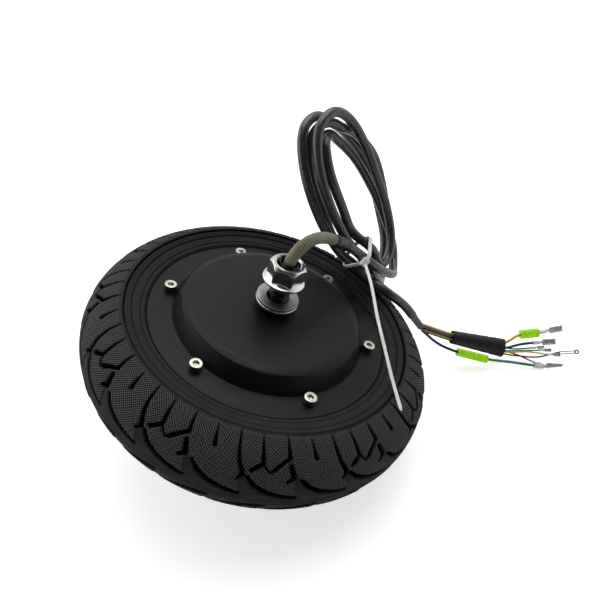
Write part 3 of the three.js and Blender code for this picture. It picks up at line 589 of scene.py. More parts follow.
TYRE_COLUMNS = 1440
PAIR_DEGREES = 30.0  # one plain and one split tread block
FRONT_PHASE = -10.6  # where a plain block starts on the front shoulder
REAR_PHASE = FRONT_PHASE + 7.5
CROWN_CENTRE, CROWN_RADIAL, CROWN_AXIAL = 71.1, 28.9, 25.6
MM_PER_DEGREE = 0.475  # along the crown's profile
SHOULDER = 69.0  # ellipse angle, in degrees, where the tread blocks end
CROWN_EDGE = SHOULDER + 2.5  # where the crown meets the sidewall
BLOCK_HEIGHT = 0.35
BLOCK_TIP = -8.4  # ellipse angle at which the blocks run out towards the crest
BLOCK_EDGE, GROOVE_EDGE = 0.5, 0.35  # mm over which they rise and fall
SHALLOW = 0.3  # a groove deeper than this has no hatch
BLACK_SHADE_GROOVE_DEPTH = 1.2  # grooves this deep get full painted shade, black
TALLEST_RELIEF = 0.45
CROWN_ROWS, WALL_ROWS = 157, 43
# Inside of the tyre as (radius, distance from the mid-plane), from one bead to the other.
TYRE_BED = ((68.3, 15.9), (66.4, 15.8), (66.3, 11.2), (62.3, 9.7),
            (62.3, -9.7), (66.3, -11.2), (66.4, -15.8), (68.3, -15.9))

# Tread grooves on one pair of blocks: points are (degrees round, ellipse degrees from the crest),
# each with a width in mm; the last number is the depth in mm.
UPPER_PLAIN = ([(0, -69, 0.7), (0.6, -54, 1.0), (1.6, -42, 1.6), (3.4, -30, 2.0), (2.2, -25.5, 1.4)], 1.6)
LOWER_SWEEP = ([(4.6, -29, 1.3), (6.8, -21, 2.0), (10.3, -14.5, 2.3), (14, -10.8, 2.3),
                (18.4, -8.4, 2.0)], 1.9)
UPPER_SPLIT = ([(0, -69, 0.7), (0.3, -58, 1.1), (0.8, -50, 1.6), (-1.5, -44.5, 1.6),
                (-3.3, -38.5, 2.1)], 1.7)
MIDDLE_SPLIT = ([(1.1, -43, 1.8), (1.9, -36, 2.2), (2.3, -31, 2.2), (0.7, -27.5, 1.4)], 1.9)
SIPE = ([(7.7, -67, 0.5), (8.2, -58, 0.9), (8.8, -49, 1.8)], 1.5)
SUB_SIPE = ([(7.0, -69, 0.6), (7.6, -56, 1.1), (8.2, -43, 1.7), (5.4, -35.5, 1.9)], 1.6)
ZIGZAG = ([(8.2, -43, 0.9), (9.4, -38.5, 0.7), (10.6, -35.5, 0.9), (11.7, -38.5, 2.1)], 1.2)
CENTRE_LINES = ((0.0, 0.35, 0.25), (3.1, 0.5, 0.4))  # (ellipse degrees, width, depth)


def tread_grooves():
    """All grooves of one pair, each as (points, depth) in degrees from the plain block's start."""
    half = PAIR_DEGREES / 2
    starts = [(UPPER_SPLIT, 0), (MIDDLE_SPLIT, 0), (LOWER_SWEEP, 0), (SIPE, 0),
              (UPPER_PLAIN, half), (LOWER_SWEEP, half), (SUB_SIPE, half), (ZIGZAG, half)]
    return [([(u + by, s, w) for u, s, w in points], depth) for (points, depth), by in starts]


def groove_field(u, s, scale):
    """Depth in mm of the grooves at (degrees round, ellipse degrees) points."""
    depth_here = np.zeros_like(u)
    for points, depth in tread_grooves():
        for (u0, s0, w0), (u1, s1, w1) in zip(points, points[1:]):
            for wrap in (-PAIR_DEGREES, 0, PAIR_DEGREES):
                ax, ay = (u0 + wrap - u) * scale, (s0 - s) * MM_PER_DEGREE
                dx, dy = (u1 - u0) * scale, (s1 - s0) * MM_PER_DEGREE
                t = np.clip(-(ax * dx + ay * dy) / (dx * dx + dy * dy), 0, 1)
                gap = np.hypot(ax + t * dx, ay + t * dy) - (w0 + (w1 - w0) * t) / 2
                cut = depth * np.clip(0.5 - gap / (2 * GROOVE_EDGE), 0, 1)
                depth_here = np.maximum(depth_here, cut)
    fade = np.clip((s + SHOULDER + 6) / 22, 0.2, 1)  # shallower towards the shoulder
    return depth_here * fade


def block_field(u, s, scale):
    """1 on the hatched tread blocks and 0 on the smooth centre band, at the same points."""
    inside = np.full_like(u, -9.0)
    sweep_s = [-69, -54, -42, -30, -21, -14.5, -10.8, BLOCK_TIP]
    sweep_u = [0.0, 0.6, 1.6, 4.2, 6.8, 10.3, 14.0, 18.4]
    right_s = [-69, -42, -27, BLOCK_TIP]
    right_u = [15.0, 16.6, 17.4, 18.6]
    for start in np.arange(-2, 3) * PAIR_DEGREES / 2:
        left = (u - start - np.interp(s, sweep_s, sweep_u)) * scale
        right = (start + np.interp(s, right_s, right_u) - u) * scale
        lower = (BLOCK_TIP - s) * MM_PER_DEGREE
        inside = np.maximum(inside, np.minimum(np.minimum(left, right), lower))
    upper = (s + SHOULDER) * MM_PER_DEGREE
    return np.clip(0.5 + np.minimum(inside, upper) / BLOCK_EDGE, 0, 1)


def wall_outline():
    """Tyre side from the bead to the shoulder, as (radius, distance from the mid-plane)."""
    edge = math.radians(CROWN_EDGE)
    shoulder = (CROWN_CENTRE + CROWN_RADIAL * math.cos(edge), CROWN_AXIAL * math.sin(edge))
    knots = np.array([(68.3, 19.2), (69.5, 19.85), (71, 20.6), (74.6, 21.75), (78.2, 22.9), shoulder])
    along = np.concatenate([[0], np.cumsum(np.linalg.norm(np.diff(knots, axis=0), axis=1))])
    wanted = np.linspace(0, along[-1], WALL_ROWS + 1)[:-1]
    wall = np.stack([np.interp(wanted, along, knots[:, i]) for i in range(2)], 1)
    soft = np.copy(wall)
    for _ in range(6):
        soft[1:-1] = (soft[:-2] + 2 * soft[1:-1] + soft[2:]) / 4
    return soft


# Rings on the sidewall as (radius, width, height); the last two are the ridge and crease at the shoulder.
WALL_RINGS = ((69.6, 0.9, 0.5), (71.0, 0.7, -0.35), (75.6, 0.8, -0.4), (76.7, 0.8, 0.45), (78.3, 1.0, 0.6),
              (79.5, 0.9, -0.9))
VENT_RINGS = ((70.9, 0.21), (76.4, 0.47))  # (radius, angle of the first nib)
VENTS, VENT_HEIGHT, VENT_RADIUS = 12, 0.35, 0.55
BLACK_SHADE_CREASE_DEPTH = 0.8  # creases this deep get full painted shade, black


def wall_relief(radius):
    """Height of the sidewall's raised rings and creases at each radius."""
    relief = np.zeros_like(radius)
    for centre, width, height in WALL_RINGS:
        relief += height * np.exp(-((radius - centre) / (0.6 * width)) ** 2)
    return relief


def vent_dots(radius, angles):
    """Small moulding nibs on the sidewall."""
    dots = np.zeros((len(radius), len(angles)))
    spacing = TAU / VENTS
    for ring, phase in VENT_RINGS:
        off = (angles - phase + spacing / 2) % spacing - spacing / 2
        distance = np.hypot(radius[:, None] - ring, off[None, :] * ring)
        dots = np.maximum(dots, VENT_HEIGHT * np.clip(1.4 - distance / VENT_RADIUS, 0, 1))
    return dots


def profile_normals(outline):
    """Outward normals of a profile walked from the front bead over the crest to the rear bead."""
    along = np.gradient(outline, axis=0)
    along /= np.linalg.norm(along, axis=1, keepdims=True)
    return np.stack([along[:, 1], -along[:, 0]], 1)


def crown_relief(s, angles):
    """Displacement, block mask and painted shade mask of the deep grooves over the crown rows (s in degrees,
    front negative).
    """
    degrees = np.degrees(angles)[None, :]
    rows = s[:, None]
    front = rows <= 0
    u = np.where(front, degrees - FRONT_PHASE, degrees - REAR_PHASE) % PAIR_DEGREES
    s_front = -np.abs(rows) + 0 * u
    scale = np.radians(CROWN_CENTRE + CROWN_RADIAL * np.cos(np.radians(s_front)))
    depth = groove_field(u, s_front, scale)
    blocks = block_field(u, s_front, scale)
    lines = np.zeros_like(u)
    for at, width, deep in CENTRE_LINES:
        away = np.abs(np.abs(rows) - at) * MM_PER_DEGREE + 0 * u
        lines = np.maximum(lines, deep * np.clip(1 - away / width, 0, 1))
    height = BLOCK_HEIGHT * blocks - depth - lines
    return height, blocks * (depth < SHALLOW), np.clip(depth / BLACK_SHADE_GROOVE_DEPTH, 0, 1)


def tyre_mesh():
    """The tyre, with its relief as geometry and masks for the hatch and for the painted shade in the grooves
    and sidewall creases.
    """
    angles = column_angles(TYRE_COLUMNS)
    wall = wall_outline()
    crest = np.linspace(-CROWN_EDGE, CROWN_EDGE, CROWN_ROWS)
    crown = np.stack([CROWN_CENTRE + CROWN_RADIAL * np.cos(np.radians(crest)),
                      CROWN_AXIAL * np.sin(np.radians(crest))], 1)
    outer = np.concatenate([wall * [1, -1], crown, wall[::-1]])
    normals = profile_normals(outer)
    side_height = wall_relief(wall[:, 0])[:, None] + vent_dots(wall[:, 0], angles)
    crown_height, blocks, grooves = crown_relief(crest, angles)
    flat = np.zeros_like(side_height)
    # painted shade mask of the sidewall creases, by their depth
    creases = np.clip(-side_height / BLACK_SHADE_CREASE_DEPTH, 0, 1)
    height = np.concatenate([side_height, crown_height, side_height[::-1]])
    height = np.minimum(height, TALLEST_RELIEF)
    radius = outer[:, :1] + normals[:, :1] * height
    level = outer[:, 1:] + normals[:, 1:] * height
    inner = np.array(TYRE_BED)
    radius = np.concatenate([radius, np.repeat(inner[:, :1], TYRE_COLUMNS, 1)])
    level = np.concatenate([level, np.repeat(inner[:, 1:], TYRE_COLUMNS, 1)])
    points = np.stack([radius * np.cos(angles), level, radius * np.sin(angles)], -1).reshape(-1, 3)
    rows = len(radius)
    quads = grid_quads(rows, TYRE_COLUMNS, joined=True)
    mesh = new_mesh("tyre", points, quads, sharp=70)
    empty = np.zeros((rows - len(outer), TYRE_COLUMNS))
    for label, side_values, values in (("block", flat, blocks), ("groove_shade", creases, grooves)):
        paint(mesh, label, np.concatenate([side_values, values, side_values[::-1], empty]))
    add_tread_uv(mesh, rows, outer)
    return mesh


def add_tread_uv(mesh, rows, outer):
    """UV in hatch pitches: round the tyre, and across it measured along the profile."""
    across = np.concatenate([[0], np.cumsum(np.linalg.norm(np.diff(outer, axis=0), axis=1))])
    across = np.concatenate([across - across.mean(), np.zeros(rows - len(outer))]) / HATCH_MM
    index = np.empty(len(mesh.loops), np.int32)
    mesh.loops.foreach_get("vertex_index", index)
    column = index % TYRE_COLUMNS
    row = index // TYRE_COLUMNS
    corners = column.reshape(-1, 4)
    crossing = corners.max(1, keepdims=True) - corners.min(1, keepdims=True) > TYRE_COLUMNS / 2
    column = np.where(crossing & (corners == 0), TYRE_COLUMNS, corners).ravel()
    uv = np.stack([column / TYRE_COLUMNS * HATCH_TURNS, across[row]], 1)
    layer = mesh.uv_layers.new(name="tread")
    layer.data.foreach_set("uv", uv.astype(np.float32).ravel())


add_piece("tyre", tyre_mesh(), "wheel")

# ---- covers and screws

# Section of a cover as (radius, distance from the mid-plane, fillet).
COVER_OUTLINE = [
    (8.3, 29.6, 0.3), (8.3, 27.2, 0), (17.6, 27.2, 0.3), (17.6, 16.2, 0), (21.5, 16.2, 0),
    (22.5, 26.0, 1.0), (45.2, 26.6, 2.0), (50.8, 18.0, 0), (51.0, 14.2, 0), (55.1, 14.2, 0.3),
    (55.1, 16.0, 0), (67.9, 16.0, 0.2), (67.9, 19.0, 0.5), (54.9, 19.0, 0.7), (50.8, 27.0, 0),
    (49.9, 28.5, 1.2), (46.4, 29.6, 2.6),
]


def cover_mesh(side):
    return turned("cover", rounded(COVER_OUTLINE, 6), side, 288, sharp=28)


def hexagon_radius(angles, half_flats, turn=0.0):
    """Distance to a regular hexagon's wall at each angle; a flat faces the angle `turn`."""
    sixth = TAU / 6
    return half_flats / np.cos((angles - turn + sixth / 2) % sixth - sixth / 2)


def screw_mesh(side):
    """M4 socket cap screw: threaded shank, lightly knurled head and a hexagonal socket."""
    angles = column_angles(72)
    knurl = 0.05 * np.abs(np.sin(18 * angles))
    rows = [(0, 8.0)]
    for y in np.arange(8.0, 18.6, 0.14):
        phase = (y / 0.7 + angles / TAU) % 1
        rows.append((1.68 + 0.3 * np.abs(2 * phase - 1), y))
    rows += [(2.0, 18.8), (2.0, 19.2), (3.3, 19.2), (3.45 - knurl, 19.4)]
    rows += [(3.5 - knurl, y) for y in (19.7, 20.6, 21.6, 22.3)]
    rows += [(3.46, 22.6), (3.36, 22.84), (3.18, 22.97), (3.0, 23.0)]
    socket = hexagon_radius(angles, 1.5, math.pi / 6)
    rows += [(2.05, 23.0), (socket + 0.12, 22.96), (socket, 22.8), (socket, 21.0)]
    rows += [(socket * 0.55, 20.8), (0, 20.6)]
    return polar_solid("screw", rows, side, angles)


def stacked(rows, angles):
    """Radii (rows x columns) and heights from rows of one radius, or one per column, and a height."""
    radii = np.array([np.broadcast_to(radius, angles.shape) for radius, _ in rows], float)
    return radii, np.array([height for _, height in rows], float)


def polar_solid(name, rows, side, angles, sharp=32):
    """A body about Y from rows as in `stacked`, closed at its first and last row."""
    radii, heights = stacked(rows, angles)
    heights = heights * side
    points = revolve(radii[1:-1], heights[1:-1], angles)
    tips = np.array([(0, heights[0], 0), (0, heights[-1], 0)], float)
    quads = grid_quads(len(rows) - 2, len(angles))[:, ::-1]
    return new_mesh(name, np.vstack([points, tips]), quads, end_caps(len(points), len(angles)), sharp)


for side_name, side in (("front", FRONT), ("rear", REAR)):
    add_piece(f"{side_name}_cover", cover_mesh(side), "wheel")
    screw = screw_mesh(side)
    for number in range(1, 7):
        node = f"{side_name}_screw_{number}"
        centre = sum(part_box(node), Vector()) / 2
        placed = screw.copy()
        placed.transform(Matrix.Translation((centre.x, 0, centre.z)))
        add_piece(node, placed, "wheel")

# ---- axle, washers, nuts

AXLE_HALF, SHOULDER_AT, FLAT_HALF = 61.0, 33.8, 5.0
THREAD_PITCH, THREAD_ROOT, THREAD_DEPTH, RUN_OUT = 1.25, 5.35, 0.62, 1.2
BORE_RADIUS, BORE_BOTTOM = 4.2, -11.0
AXLE_STEPS = ((7.3, 33.8), (7.5, 33.6), (7.5, 15.8), (9.8, 15.6), (10, 15.4))  # (radius, distance)


def thread_row(y, angles):
    """Radius of the M12 thread at height y, cut by the two flats, and how near it is to a crest."""
    phase = (y / THREAD_PITCH - angles / TAU) % 1
    wave = np.clip(1.25 * np.abs(2 * phase - 1) - 0.12, 0, 1)
    run_out = min(1.0, (AXLE_HALF - abs(y)) / RUN_OUT)
    round_part = THREAD_ROOT + THREAD_DEPTH * wave * run_out - 0.5 * (1 - run_out)
    flat = FLAT_HALF / np.maximum(np.abs(np.cos(angles)), 1e-6)
    return np.minimum(round_part, flat), wave * (round_part < flat)


def axle_mesh():
    """The axle from its bore's bottom out to the front end, then back along its outside to the rear."""
    angles = column_angles(120)
    threads = []
    for low in (-AXLE_HALF, SHOULDER_AT):
        levels = np.arange(low, low + AXLE_HALF - SHOULDER_AT + 0.01, 0.15)
        threads.append([(*thread_row(y, angles), y) for y in levels])
    plain = [(radius, 0, -y) for radius, y in AXLE_STEPS] + [(radius, 0, y) for radius, y in AXLE_STEPS[::-1]]
    bore = [(0, 0, BORE_BOTTOM), (BORE_RADIUS, 0, BORE_BOTTOM), (BORE_RADIUS, 0, -AXLE_HALF + 0.4),
            (BORE_RADIUS + 0.3, 0, -AXLE_HALF)]
    rows = [*bore, *threads[0], *plain, *threads[1], (0, 0, AXLE_HALF)]
    mesh = polar_solid("axle", [(radius, y) for radius, _, y in rows], 1, angles, sharp=40)
    crests = [np.broadcast_to(crest, angles.shape) for _, crest, _ in rows[1:-1]]
    paint(mesh, "crest", np.concatenate([*crests, [0, 0]]))
    return mesh


add_piece("axle", axle_mesh())


def washer_outline(node, edge):
    """Section of a washer with softened edges, from its CAD box."""
    low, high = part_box(node)
    seat, top = sorted((abs(low.y) / MM, abs(high.y) / MM))
    outer = high.x / MM
    return rounded([(6.4, seat, 0.2), (outer, seat, edge), (outer, top, edge), (6.4, top, 0.3)])


NUT_SEAT, NUT_HEIGHT, NUT_FLATS, NUT_BORE = 48.5, 11.9, 9.0, 6.3
FLANGE_TOP = 3.4
FLANGE = ((0, 0.25, 0.6, 1.2, 1.5, 2.0, 2.7, FLANGE_TOP),  # heights, then radii
          (11.2, 11.5, 11.6, 11.6, 11.35, 10.3, 9.3, 8.9))


def nut_outer(y, angles):
    """Outside of the flange nut at height y above its seat."""
    corner = np.minimum(hexagon_radius(angles, NUT_FLATS), NUT_FLATS / math.cos(TAU / 12) - 0.22)
    chamfer = np.interp(y, [NUT_HEIGHT - 2.2, NUT_HEIGHT], [10.6, 8.4])
    hexagon = np.minimum(corner, chamfer)
    return np.maximum(hexagon, np.interp(y, *FLANGE)) if y < FLANGE_TOP else hexagon


def nut_mesh(side):
    angles = column_angles(192)
    heights = np.concatenate([np.linspace(0, 3.6, 25), np.linspace(3.9, 10.2, 12),
                              np.linspace(10.3, NUT_HEIGHT, 20)])
    rows = [(nut_outer(y, angles), y) for y in heights]
    rows += [(7.0, NUT_HEIGHT), (6.6, NUT_HEIGHT - 0.25)]
    for y in np.arange(NUT_HEIGHT - 0.6, 0.5, -0.16):
        phase = (y / THREAD_PITCH - side * angles / TAU) % 1
        rows.append((NUT_BORE + 0.4 * np.abs(2 * phase - 1), y))
    rows += [(6.9, 0.0)]
    radii, heights = stacked(rows, angles)
    quads = grid_quads(len(rows), len(angles), joined=True)
    return new_mesh("nut", revolve(radii, side * (NUT_SEAT + heights), angles), quads, sharp=30)


for side_name, side in (("front", FRONT), ("rear", REAR)):
    for place_name, edge in (("inner", 0.45), ("outer", 0.3)):
        node = f"{side_name}_washer_{place_name}"
        add_piece(node, turned(node, washer_outline(node, edge), side, 96))
    add_piece(f"{side_name}_axle_nut", nut_mesh(side), f"{side_name}_nut")

# ---- cable

HUB_POINT = np.array([0.0, -49.0, 0.0])
SLEEVE_RADIUS, SHEATH_RADIUS = 3.15, 3.0
PHASE_WIRE_RADIUS, HALL_WIRE_RADIUS = 0.95, 0.55
SHEATH_THINNER, THIN_STRETCH = 0.55, 11  # mm off the radius, over the last millimetres
COLLAR_RADIUS, COLLAR_LIP = 3.15, 0.55
STRAND_HEIGHT = 0.24
WRAP_RINGS = (20.2, 21.7, 23.2)  # mm along the sleeve from its hidden end


def sleeve_mesh():
    """Braided sleeve: two sets of flat strands passing over and under each other."""
    sides, strands, step = 144, 16, 0.2
    path = smooth_path(centreline("fibreglass_sleeve", HUB_POINT), step)
    phi = column_angles(sides)[None, :]
    along = (np.arange(len(path)) * step)[:, None]
    a = phi / TAU * strands + along / 2.0
    b = phi / TAU * strands - along / 2.0
    over = (np.floor(a) + np.floor(b)) % 2 == 0
    strand = np.where(over, np.abs(np.sin(np.pi * b)), np.abs(np.sin(np.pi * a)))
    strand = strand ** 0.5
    radius = SLEEVE_RADIUS - STRAND_HEIGHT / 2 + STRAND_HEIGHT * strand
    for ring in WRAP_RINGS:
        radius = radius + 0.32 * np.exp(-((along - ring) / 0.45) ** 2)
        # painted shade just past each wrap ring, kept in the strands' height for the material
        strand = strand * (1 - 0.85 * np.exp(-((along - ring - 0.75) / 0.3) ** 2))
    mesh = tube("sleeve", path, radius, sides, sharp=180)
    rows = np.concatenate([strand[:1], strand, strand[-1:]])
    # the strands' height, carrying the painted shade, for the material
    paint(mesh, "strand", np.append(rows, [0, 0]))
    return mesh


add_piece("fibreglass_sleeve", sleeve_mesh())

SHEATH_PATH = smooth_path(centreline("cable_sheath", np.array([31.0, -64.0, 17.0])), 1.0, softness=1.6)
BOW_FROM, BOW_TO = -64, -8  # stretch (mm before the end) that bows outwards, and by how much
BOW = np.sin(np.linspace(0, np.pi, BOW_TO - BOW_FROM))[:, None] ** 2 * np.array([0.0, -2.3, 2.1])
SHEATH_PATH[BOW_FROM:BOW_TO] += BOW


def sheath_mesh():
    """The jacket, slightly uneven, with a thinner last stretch near the wires."""
    steps = np.arange(len(SHEATH_PATH))
    end_step = np.interp(len(steps) - 1 - steps, [THIN_STRETCH, THIN_STRETCH + 3], [SHEATH_THINNER, 0.0])
    radius = SHEATH_RADIUS - end_step + 0.04 * np.sin(steps * 0.21)
    return tube("sheath", SHEATH_PATH, radius[:, None], 24)


def collar_mesh():
    """Shrink collar pulled over the first stretch of the sheath, softly stepped at its ends."""
    step = 0.5
    path = smooth_path(centreline("sheath_collar", SHEATH_PATH[0]), step)
    along = np.arange(len(path)) * step
    edge = np.minimum(along, along[-1] - along)
    radius = COLLAR_RADIUS + COLLAR_LIP * np.clip(edge / 1.2, 0, 1) ** 0.5 + 0.05 * np.sin(along * 0.9)
    return tube("collar", path, np.repeat(radius[:, None], 24, 1), 24)


add_piece("cable_sheath", sheath_mesh())
add_piece("sheath_collar", collar_mesh())

WIRE_START = SHEATH_PATH[-1]
for node in SLOT_OF:
    if "_wire_" not in node:
        continue
    wire_radius = PHASE_WIRE_RADIUS if node.startswith("phase") else HALL_WIRE_RADIUS
    wire_path = smooth_path(centreline(node, WIRE_START), 0.8, softness=1.2)
    add_piece(node, tube(node, wire_path, wire_radius, 14))

# ---- cable tie

TIE_CENTRE = np.array([65.0, -41.0, 37.0])
TIE_SHIFT = -1.3  # along the strands
STRAP, TAIL = (2.6, 0.9), (1.8, 0.9)  # width, thickness
STRAP_GAP = 1.45  # from the strands' skins to the middle of the strap
TIE_HEAD_SIZE, TIE_HEAD_ASIDE = (5.4, 3.4, 4.2), 1.6
STRAND_PITCH = 6.4
TIE_SLOTS = np.array([(-0.05, 2.45), (-1.25, 0.35), (0, 0.75), (0, -1.15), (1.1, 0.1)]) * STRAND_PITCH
TAIL_PATH = np.array([(56, -46, 0), (52, -41, -22), (50.5, -35.5, -40), (49.5, -30, -56.5),
                      (49, -25, -73)], float)
TAIL_FACING = np.array([-0.35, -0.69, -0.63])


def unit(vector):
    vector = np.asarray(vector, float)
    return vector / np.linalg.norm(vector, axis=-1, keepdims=True)


TIE_ALONG = unit([0.82, 0.42, -0.36])
TIE_FACING = -unit(np.cross(np.cross([-0.2, -0.38, -0.9], TIE_ALONG), TIE_ALONG))
TIE_SIDE = np.cross(TIE_ALONG, TIE_FACING)


def strap_loop():
    """Taut closed loop round the five strands."""
    turn = column_angles(96)
    directions = np.stack([np.cos(turn), np.sin(turn)], 1)
    furthest = TIE_SLOTS[np.argmax(directions @ TIE_SLOTS.T, axis=1)]
    outline = furthest + directions * (SHEATH_RADIUS + STRAP_GAP)
    steps = np.linalg.norm(np.roll(outline, -1, 0) - outline, axis=1)
    along = np.concatenate([[0], np.cumsum(steps)])
    wanted = np.linspace(0, along[-1], 140, endpoint=False)
    closed = np.vstack([outline, outline[:1]])
    even = np.stack([np.interp(wanted, along, closed[:, i]) for i in range(2)], 1)
    return TIE_CENTRE + even[:, :1] * TIE_SIDE + even[:, 1:] * TIE_FACING


def sweep_points(path, wide, section):
    """Section points (across, out) carried along a path whose width direction is given."""
    tangents = unit(np.gradient(path, axis=0))
    wide = unit(wide - (wide * tangents).sum(1, keepdims=True) * tangents)
    out = np.cross(tangents, wide)
    return path[:, None] + section[None, :, :1] * wide[:, None] + section[None, :, 1:] * out[:, None]


def rectangle(width, height, fillet, steps):
    x, y = width / 2, height / 2
    return rounded([(-x, -y, fillet), (x, -y, fillet), (x, y, fillet), (-x, y, fillet)], steps)


def block_parts(size, edge):
    """A box with softened edges as grid points: stacked outlines from one face to the other."""
    top = size[2] / 2
    rows = []
    for level, inset in ((-top, edge), (-top + edge, 0), (top - edge, 0), (top, edge)):
        outline = rectangle(size[0] - 2 * inset, size[1] - 2 * inset, 0.6, 4)
        rows.append(np.column_stack([outline, np.full(len(outline), level)]))
    return np.array(rows)


def tie_mesh():
    """Strap, head and tail of the cable tie."""
    loop = strap_loop()
    ends = np.vstack([loop[-1:], loop, loop[:1]])
    ring = sweep_points(ends, np.repeat(TIE_ALONG[None], len(ends), 0), rectangle(*STRAP, 0.3, 3))[1:-1]
    ring = ring + TIE_SHIFT * TIE_ALONG
    ring_quads = grid_quads(len(ring), ring.shape[1], joined=True)
    head_at = (TIE_CENTRE + TIE_HEAD_ASIDE * TIE_SIDE + TIE_SHIFT * TIE_ALONG
               + (TIE_SLOTS[0, 1] + SHEATH_RADIUS + 1.9) * TIE_FACING)
    head = block_parts(TIE_HEAD_SIZE, 0.5)
    head = head_at + head[..., :1] * TIE_SIDE + head[..., 1:2] * TIE_FACING - head[..., 2:] * TIE_ALONG
    tail_path = smooth_path(np.vstack([head_at, TAIL_PATH]), 1.0)
    facing = np.repeat(unit(np.cross(tail_path[-1] - tail_path[0], TAIL_FACING))[None], len(tail_path), 0)
    tail = sweep_points(tail_path, facing, rectangle(*TAIL, 0.3, 3))
    taper = np.array([0.85, 0.55])[:, None, None]
    tail[-2:] = tail_path[-2:, None] + (tail[-2:] - tail_path[-2:, None]) * taper
    parts = [(ring.reshape(-1, 3), ring_quads, NO_TRIANGLES), capped_rings(head), capped_rings(tail)]
    return merged_mesh("tie", parts)


def merged_mesh(name, parts):
    """One mesh from several closed bodies, each turned outwards by itself."""
    points, quads, triangles, offset = [], [], [], 0
    for body_points, body_quads, body_triangles in parts:
        body_quads, body_triangles = outwards(body_points, body_quads, body_triangles)
        points.append(body_points)
        quads.append(body_quads + offset)
        triangles.append(body_triangles + offset)
        offset += len(body_points)
    return new_mesh(name, np.vstack(points), np.vstack(quads), np.vstack(triangles), sharp=40)


add_piece("cable_tie", tie_mesh())

# ---- heat shrink

SHRINK_FROM, SHRINK_TO = np.array([139.6, -0.9, -1.9]), np.array([178.9, 0.0, -13.4])
BUNDLE_TALL = np.array([0.0, -0.74, 0.68])
SHRINK_TALL, SHRINK_DEEP = (4.6, 2.0), (3.4, 0.2)  # half size at its start, and how much it grows


def shrink_mesh():
    """Flattened heat shrink, fuller towards its open end, wrinkled and recessed at both ends."""
    length = np.linalg.norm(SHRINK_TO - SHRINK_FROM)
    along = unit(SHRINK_TO - SHRINK_FROM)
    tall = unit(BUNDLE_TALL - (BUNDLE_TALL @ along) * along)
    deep = np.cross(along, tall)
    phi = column_angles(48)[:, None]
    lip = [(2.0, -0.5), (0.0, -0.5), (0.0, -0.1), (0.25, 0.0)]
    stations = lip + [(at, 0.0) for at in np.linspace(0.6, length - 0.6, 60)]
    stations += [(length - at, inset) for at, inset in reversed(lip)]
    rows = []
    for at, inset in stations:
        wrinkle = 0.05 * np.sin(0.8 * at + 3 * np.sin(phi)) + 0.03 * np.sin(1.9 * at + 3 * phi)
        half_tall = SHRINK_TALL[0] + SHRINK_TALL[1] * at / length + inset + wrinkle
        half_deep = SHRINK_DEEP[0] + SHRINK_DEEP[1] * at / length + inset + wrinkle
        across = np.cos(phi) * half_tall * tall + np.sin(phi) * half_deep * deep
        rows.append(SHRINK_FROM + at * along + across)
    return new_mesh("shrink", *capped_rings(np.array(rows)))


add_piece("harness_shrink", shrink_mesh())

# ---- CAD pieces kept, with softened edges


def soften(node, width_mm, segments):
    """Rounds a CAD piece's edges with a modifier; its own mesh is untouched."""
    piece = frame["nodes"][node]
    bevel = piece.modifiers.new("edges", "BEVEL")
    bevel.width = width_mm * MM
    bevel.segments = segments
    bevel.limit_method = "ANGLE"
    bevel.angle_limit = math.radians(28)


for node in SLOT_OF:
    if "_terminal_" in node:
        soften(node, 0.12, 2)
    if node.startswith("terminal_cover"):
        soften(node, 0.3, 3)

# ---- stage, light, camera

FLOOR_POINT = Vector((0.0, 61.4, 0.0)) * MM
FLOOR_UP = Vector((-0.263, -0.960, 0.088)).normalized()
CAMERA_AT = Vector((-107.9, -216.8, -198.7)) * MM
CAMERA_RIGHT = Vector((0.9116, -0.2782, -0.3027))
CAMERA_UP = Vector((0.0, -0.7363, 0.6767))
FOCAL_PIXELS, PICTURE_HEIGHT, SENSOR = 526.33, 600, 36.0
FLOOR_REACH = 4.0
WHITE = (1, 1, 1, 1)
FLOOR_LIFT = 0.6  # extra brightness that only the camera sees, as on an overexposed sweep


def floor_look():
    """Pale seamless paper, seen and casting only from above."""
    look = Look("floor_paper")
    colour = look.mix(look.uneven(60, 4, 0.0, 1.0), (0.90, 0.90, 0.90), (0.915, 0.915, 0.915))
    ray = look.add("ShaderNodeLightPath").outputs["Is Camera Ray"]
    paper = look.finish(colour, 0.9, 0.0, look.bump(look.noise(400, 2), 0.01), Specular_IOR_Level=0.1,
                        Emission_Color=WHITE, Emission_Strength=look.math("MULTIPLY", ray, FLOOR_LIFT))
    clear = look.add("ShaderNodeBsdfTransparent")
    behind = look.add("ShaderNodeNewGeometry").outputs["Backfacing"]
    mixed = look.add("ShaderNodeMixShader", {0: behind, 1: look.shader.outputs[0], 2: clear.outputs[0]})
    look.put(look.tree.nodes["Material Output"].inputs["Surface"], mixed.outputs[0])
    return paper


def add_floor():
    across = FLOOR_UP.cross(Vector((0, 0, 1))).normalized()
    ahead = FLOOR_UP.cross(across)
    corners = [FLOOR_POINT + across * x * FLOOR_REACH + ahead * y * FLOOR_REACH
               for x, y in ((-1, -1), (1, -1), (1, 1), (-1, 1))]
    mesh = bpy.data.meshes.new("floor")
    mesh.from_pydata([tuple(c) for c in corners], [], [(0, 1, 2, 3)])
    mesh.update()
    if mesh.polygons[0].normal.dot(FLOOR_UP) < 0:
        mesh.flip_normals()
    mesh.materials.append(floor_look())
    add_object("floor", mesh)


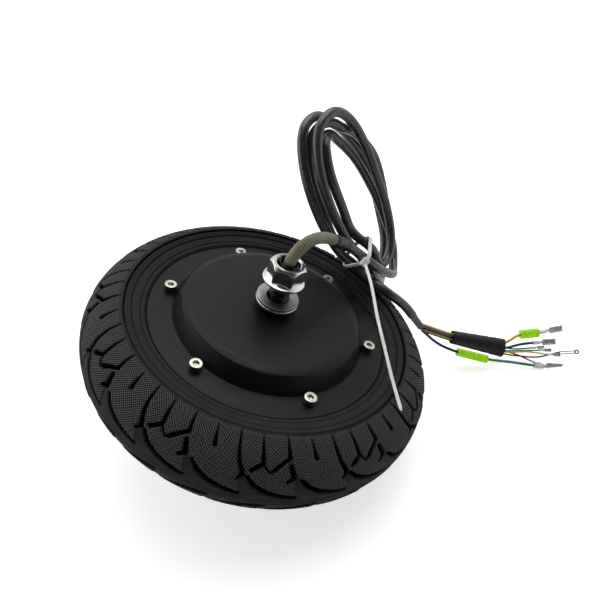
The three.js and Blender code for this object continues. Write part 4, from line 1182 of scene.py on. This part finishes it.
def area_light(name, at, size, power):
    """Square soft box aimed at the wheel, at (right, up from the floor, towards the camera)."""
    right = CAMERA_RIGHT - FLOOR_UP * CAMERA_RIGHT.dot(FLOOR_UP)
    right.normalize()
    towards = right.cross(FLOOR_UP).normalized()
    if towards.dot(CAMERA_AT) < 0:
        towards = -towards
    light = bpy.data.lights.new(name, "AREA")
    light.shape = "SQUARE"
    light.size = size
    light.energy = power
    lamp = add_object(name, light)
    lamp.location = right * at[0] + FLOOR_UP * at[1] + towards * at[2]
    lamp.rotation_euler = (-lamp.location).to_track_quat("-Z", "Y").to_euler()


def add_world():
    """Soft light all round, dim behind the camera and fuller on its left; plain white to the camera."""
    world = bpy.data.worlds.new("studio")
    bpy.context.scene.world = world
    sky = Nodes(world)
    direction = sky.add("ShaderNodeTexCoord").outputs["Generated"]

    def facing(axis, low, high, start, end):
        """A factor that runs from start to end as the direction turns towards an axis."""
        turned_to = sky.add("ShaderNodeVectorMath", {0: direction, 1: axis}, operation="DOT_PRODUCT")
        return sky.span(turned_to.outputs["Value"], low, high, start, end, interpolation_type="SMOOTHSTEP")

    strength = sky.math("MULTIPLY", facing(CAMERA_AT.normalized(), 0.25, 0.8, 0.85, 0.035),
                        facing(CAMERA_RIGHT, -0.95, -0.35, 2.1, 1.0))
    glow = sky.tree.nodes["Background"]
    sky.put(glow.inputs["Color"], WHITE)
    sky.put(glow.inputs["Strength"], strength)
    seen = sky.add("ShaderNodeBackground", {"Color": WHITE, "Strength": 1.0})
    ray = sky.add("ShaderNodeLightPath").outputs["Is Camera Ray"]
    mixed = sky.add("ShaderNodeMixShader", {0: ray, 1: glow.outputs[0], 2: seen.outputs[0]})
    sky.put(sky.tree.nodes["World Output"].inputs["Surface"], mixed.outputs[0])


def add_camera():
    camera = bpy.data.cameras.new("camera")
    camera.sensor_fit = "VERTICAL"
    camera.sensor_height = SENSOR
    camera.lens = SENSOR * FOCAL_PIXELS / PICTURE_HEIGHT
    camera.clip_start = 0.01
    holder = add_object("camera", camera)
    back = CAMERA_RIGHT.cross(CAMERA_UP).normalized()
    turn = Matrix((CAMERA_RIGHT, CAMERA_UP, back)).transposed().to_4x4()
    holder.matrix_world = Matrix.Translation(CAMERA_AT) @ turn
    bpy.context.scene.camera = holder


add_floor()
add_world()
area_light("key", (0.1, 1.3, -0.4), 1.2, 9.0)
add_camera()
bpy.context.scene.view_settings.view_transform = "Standard"
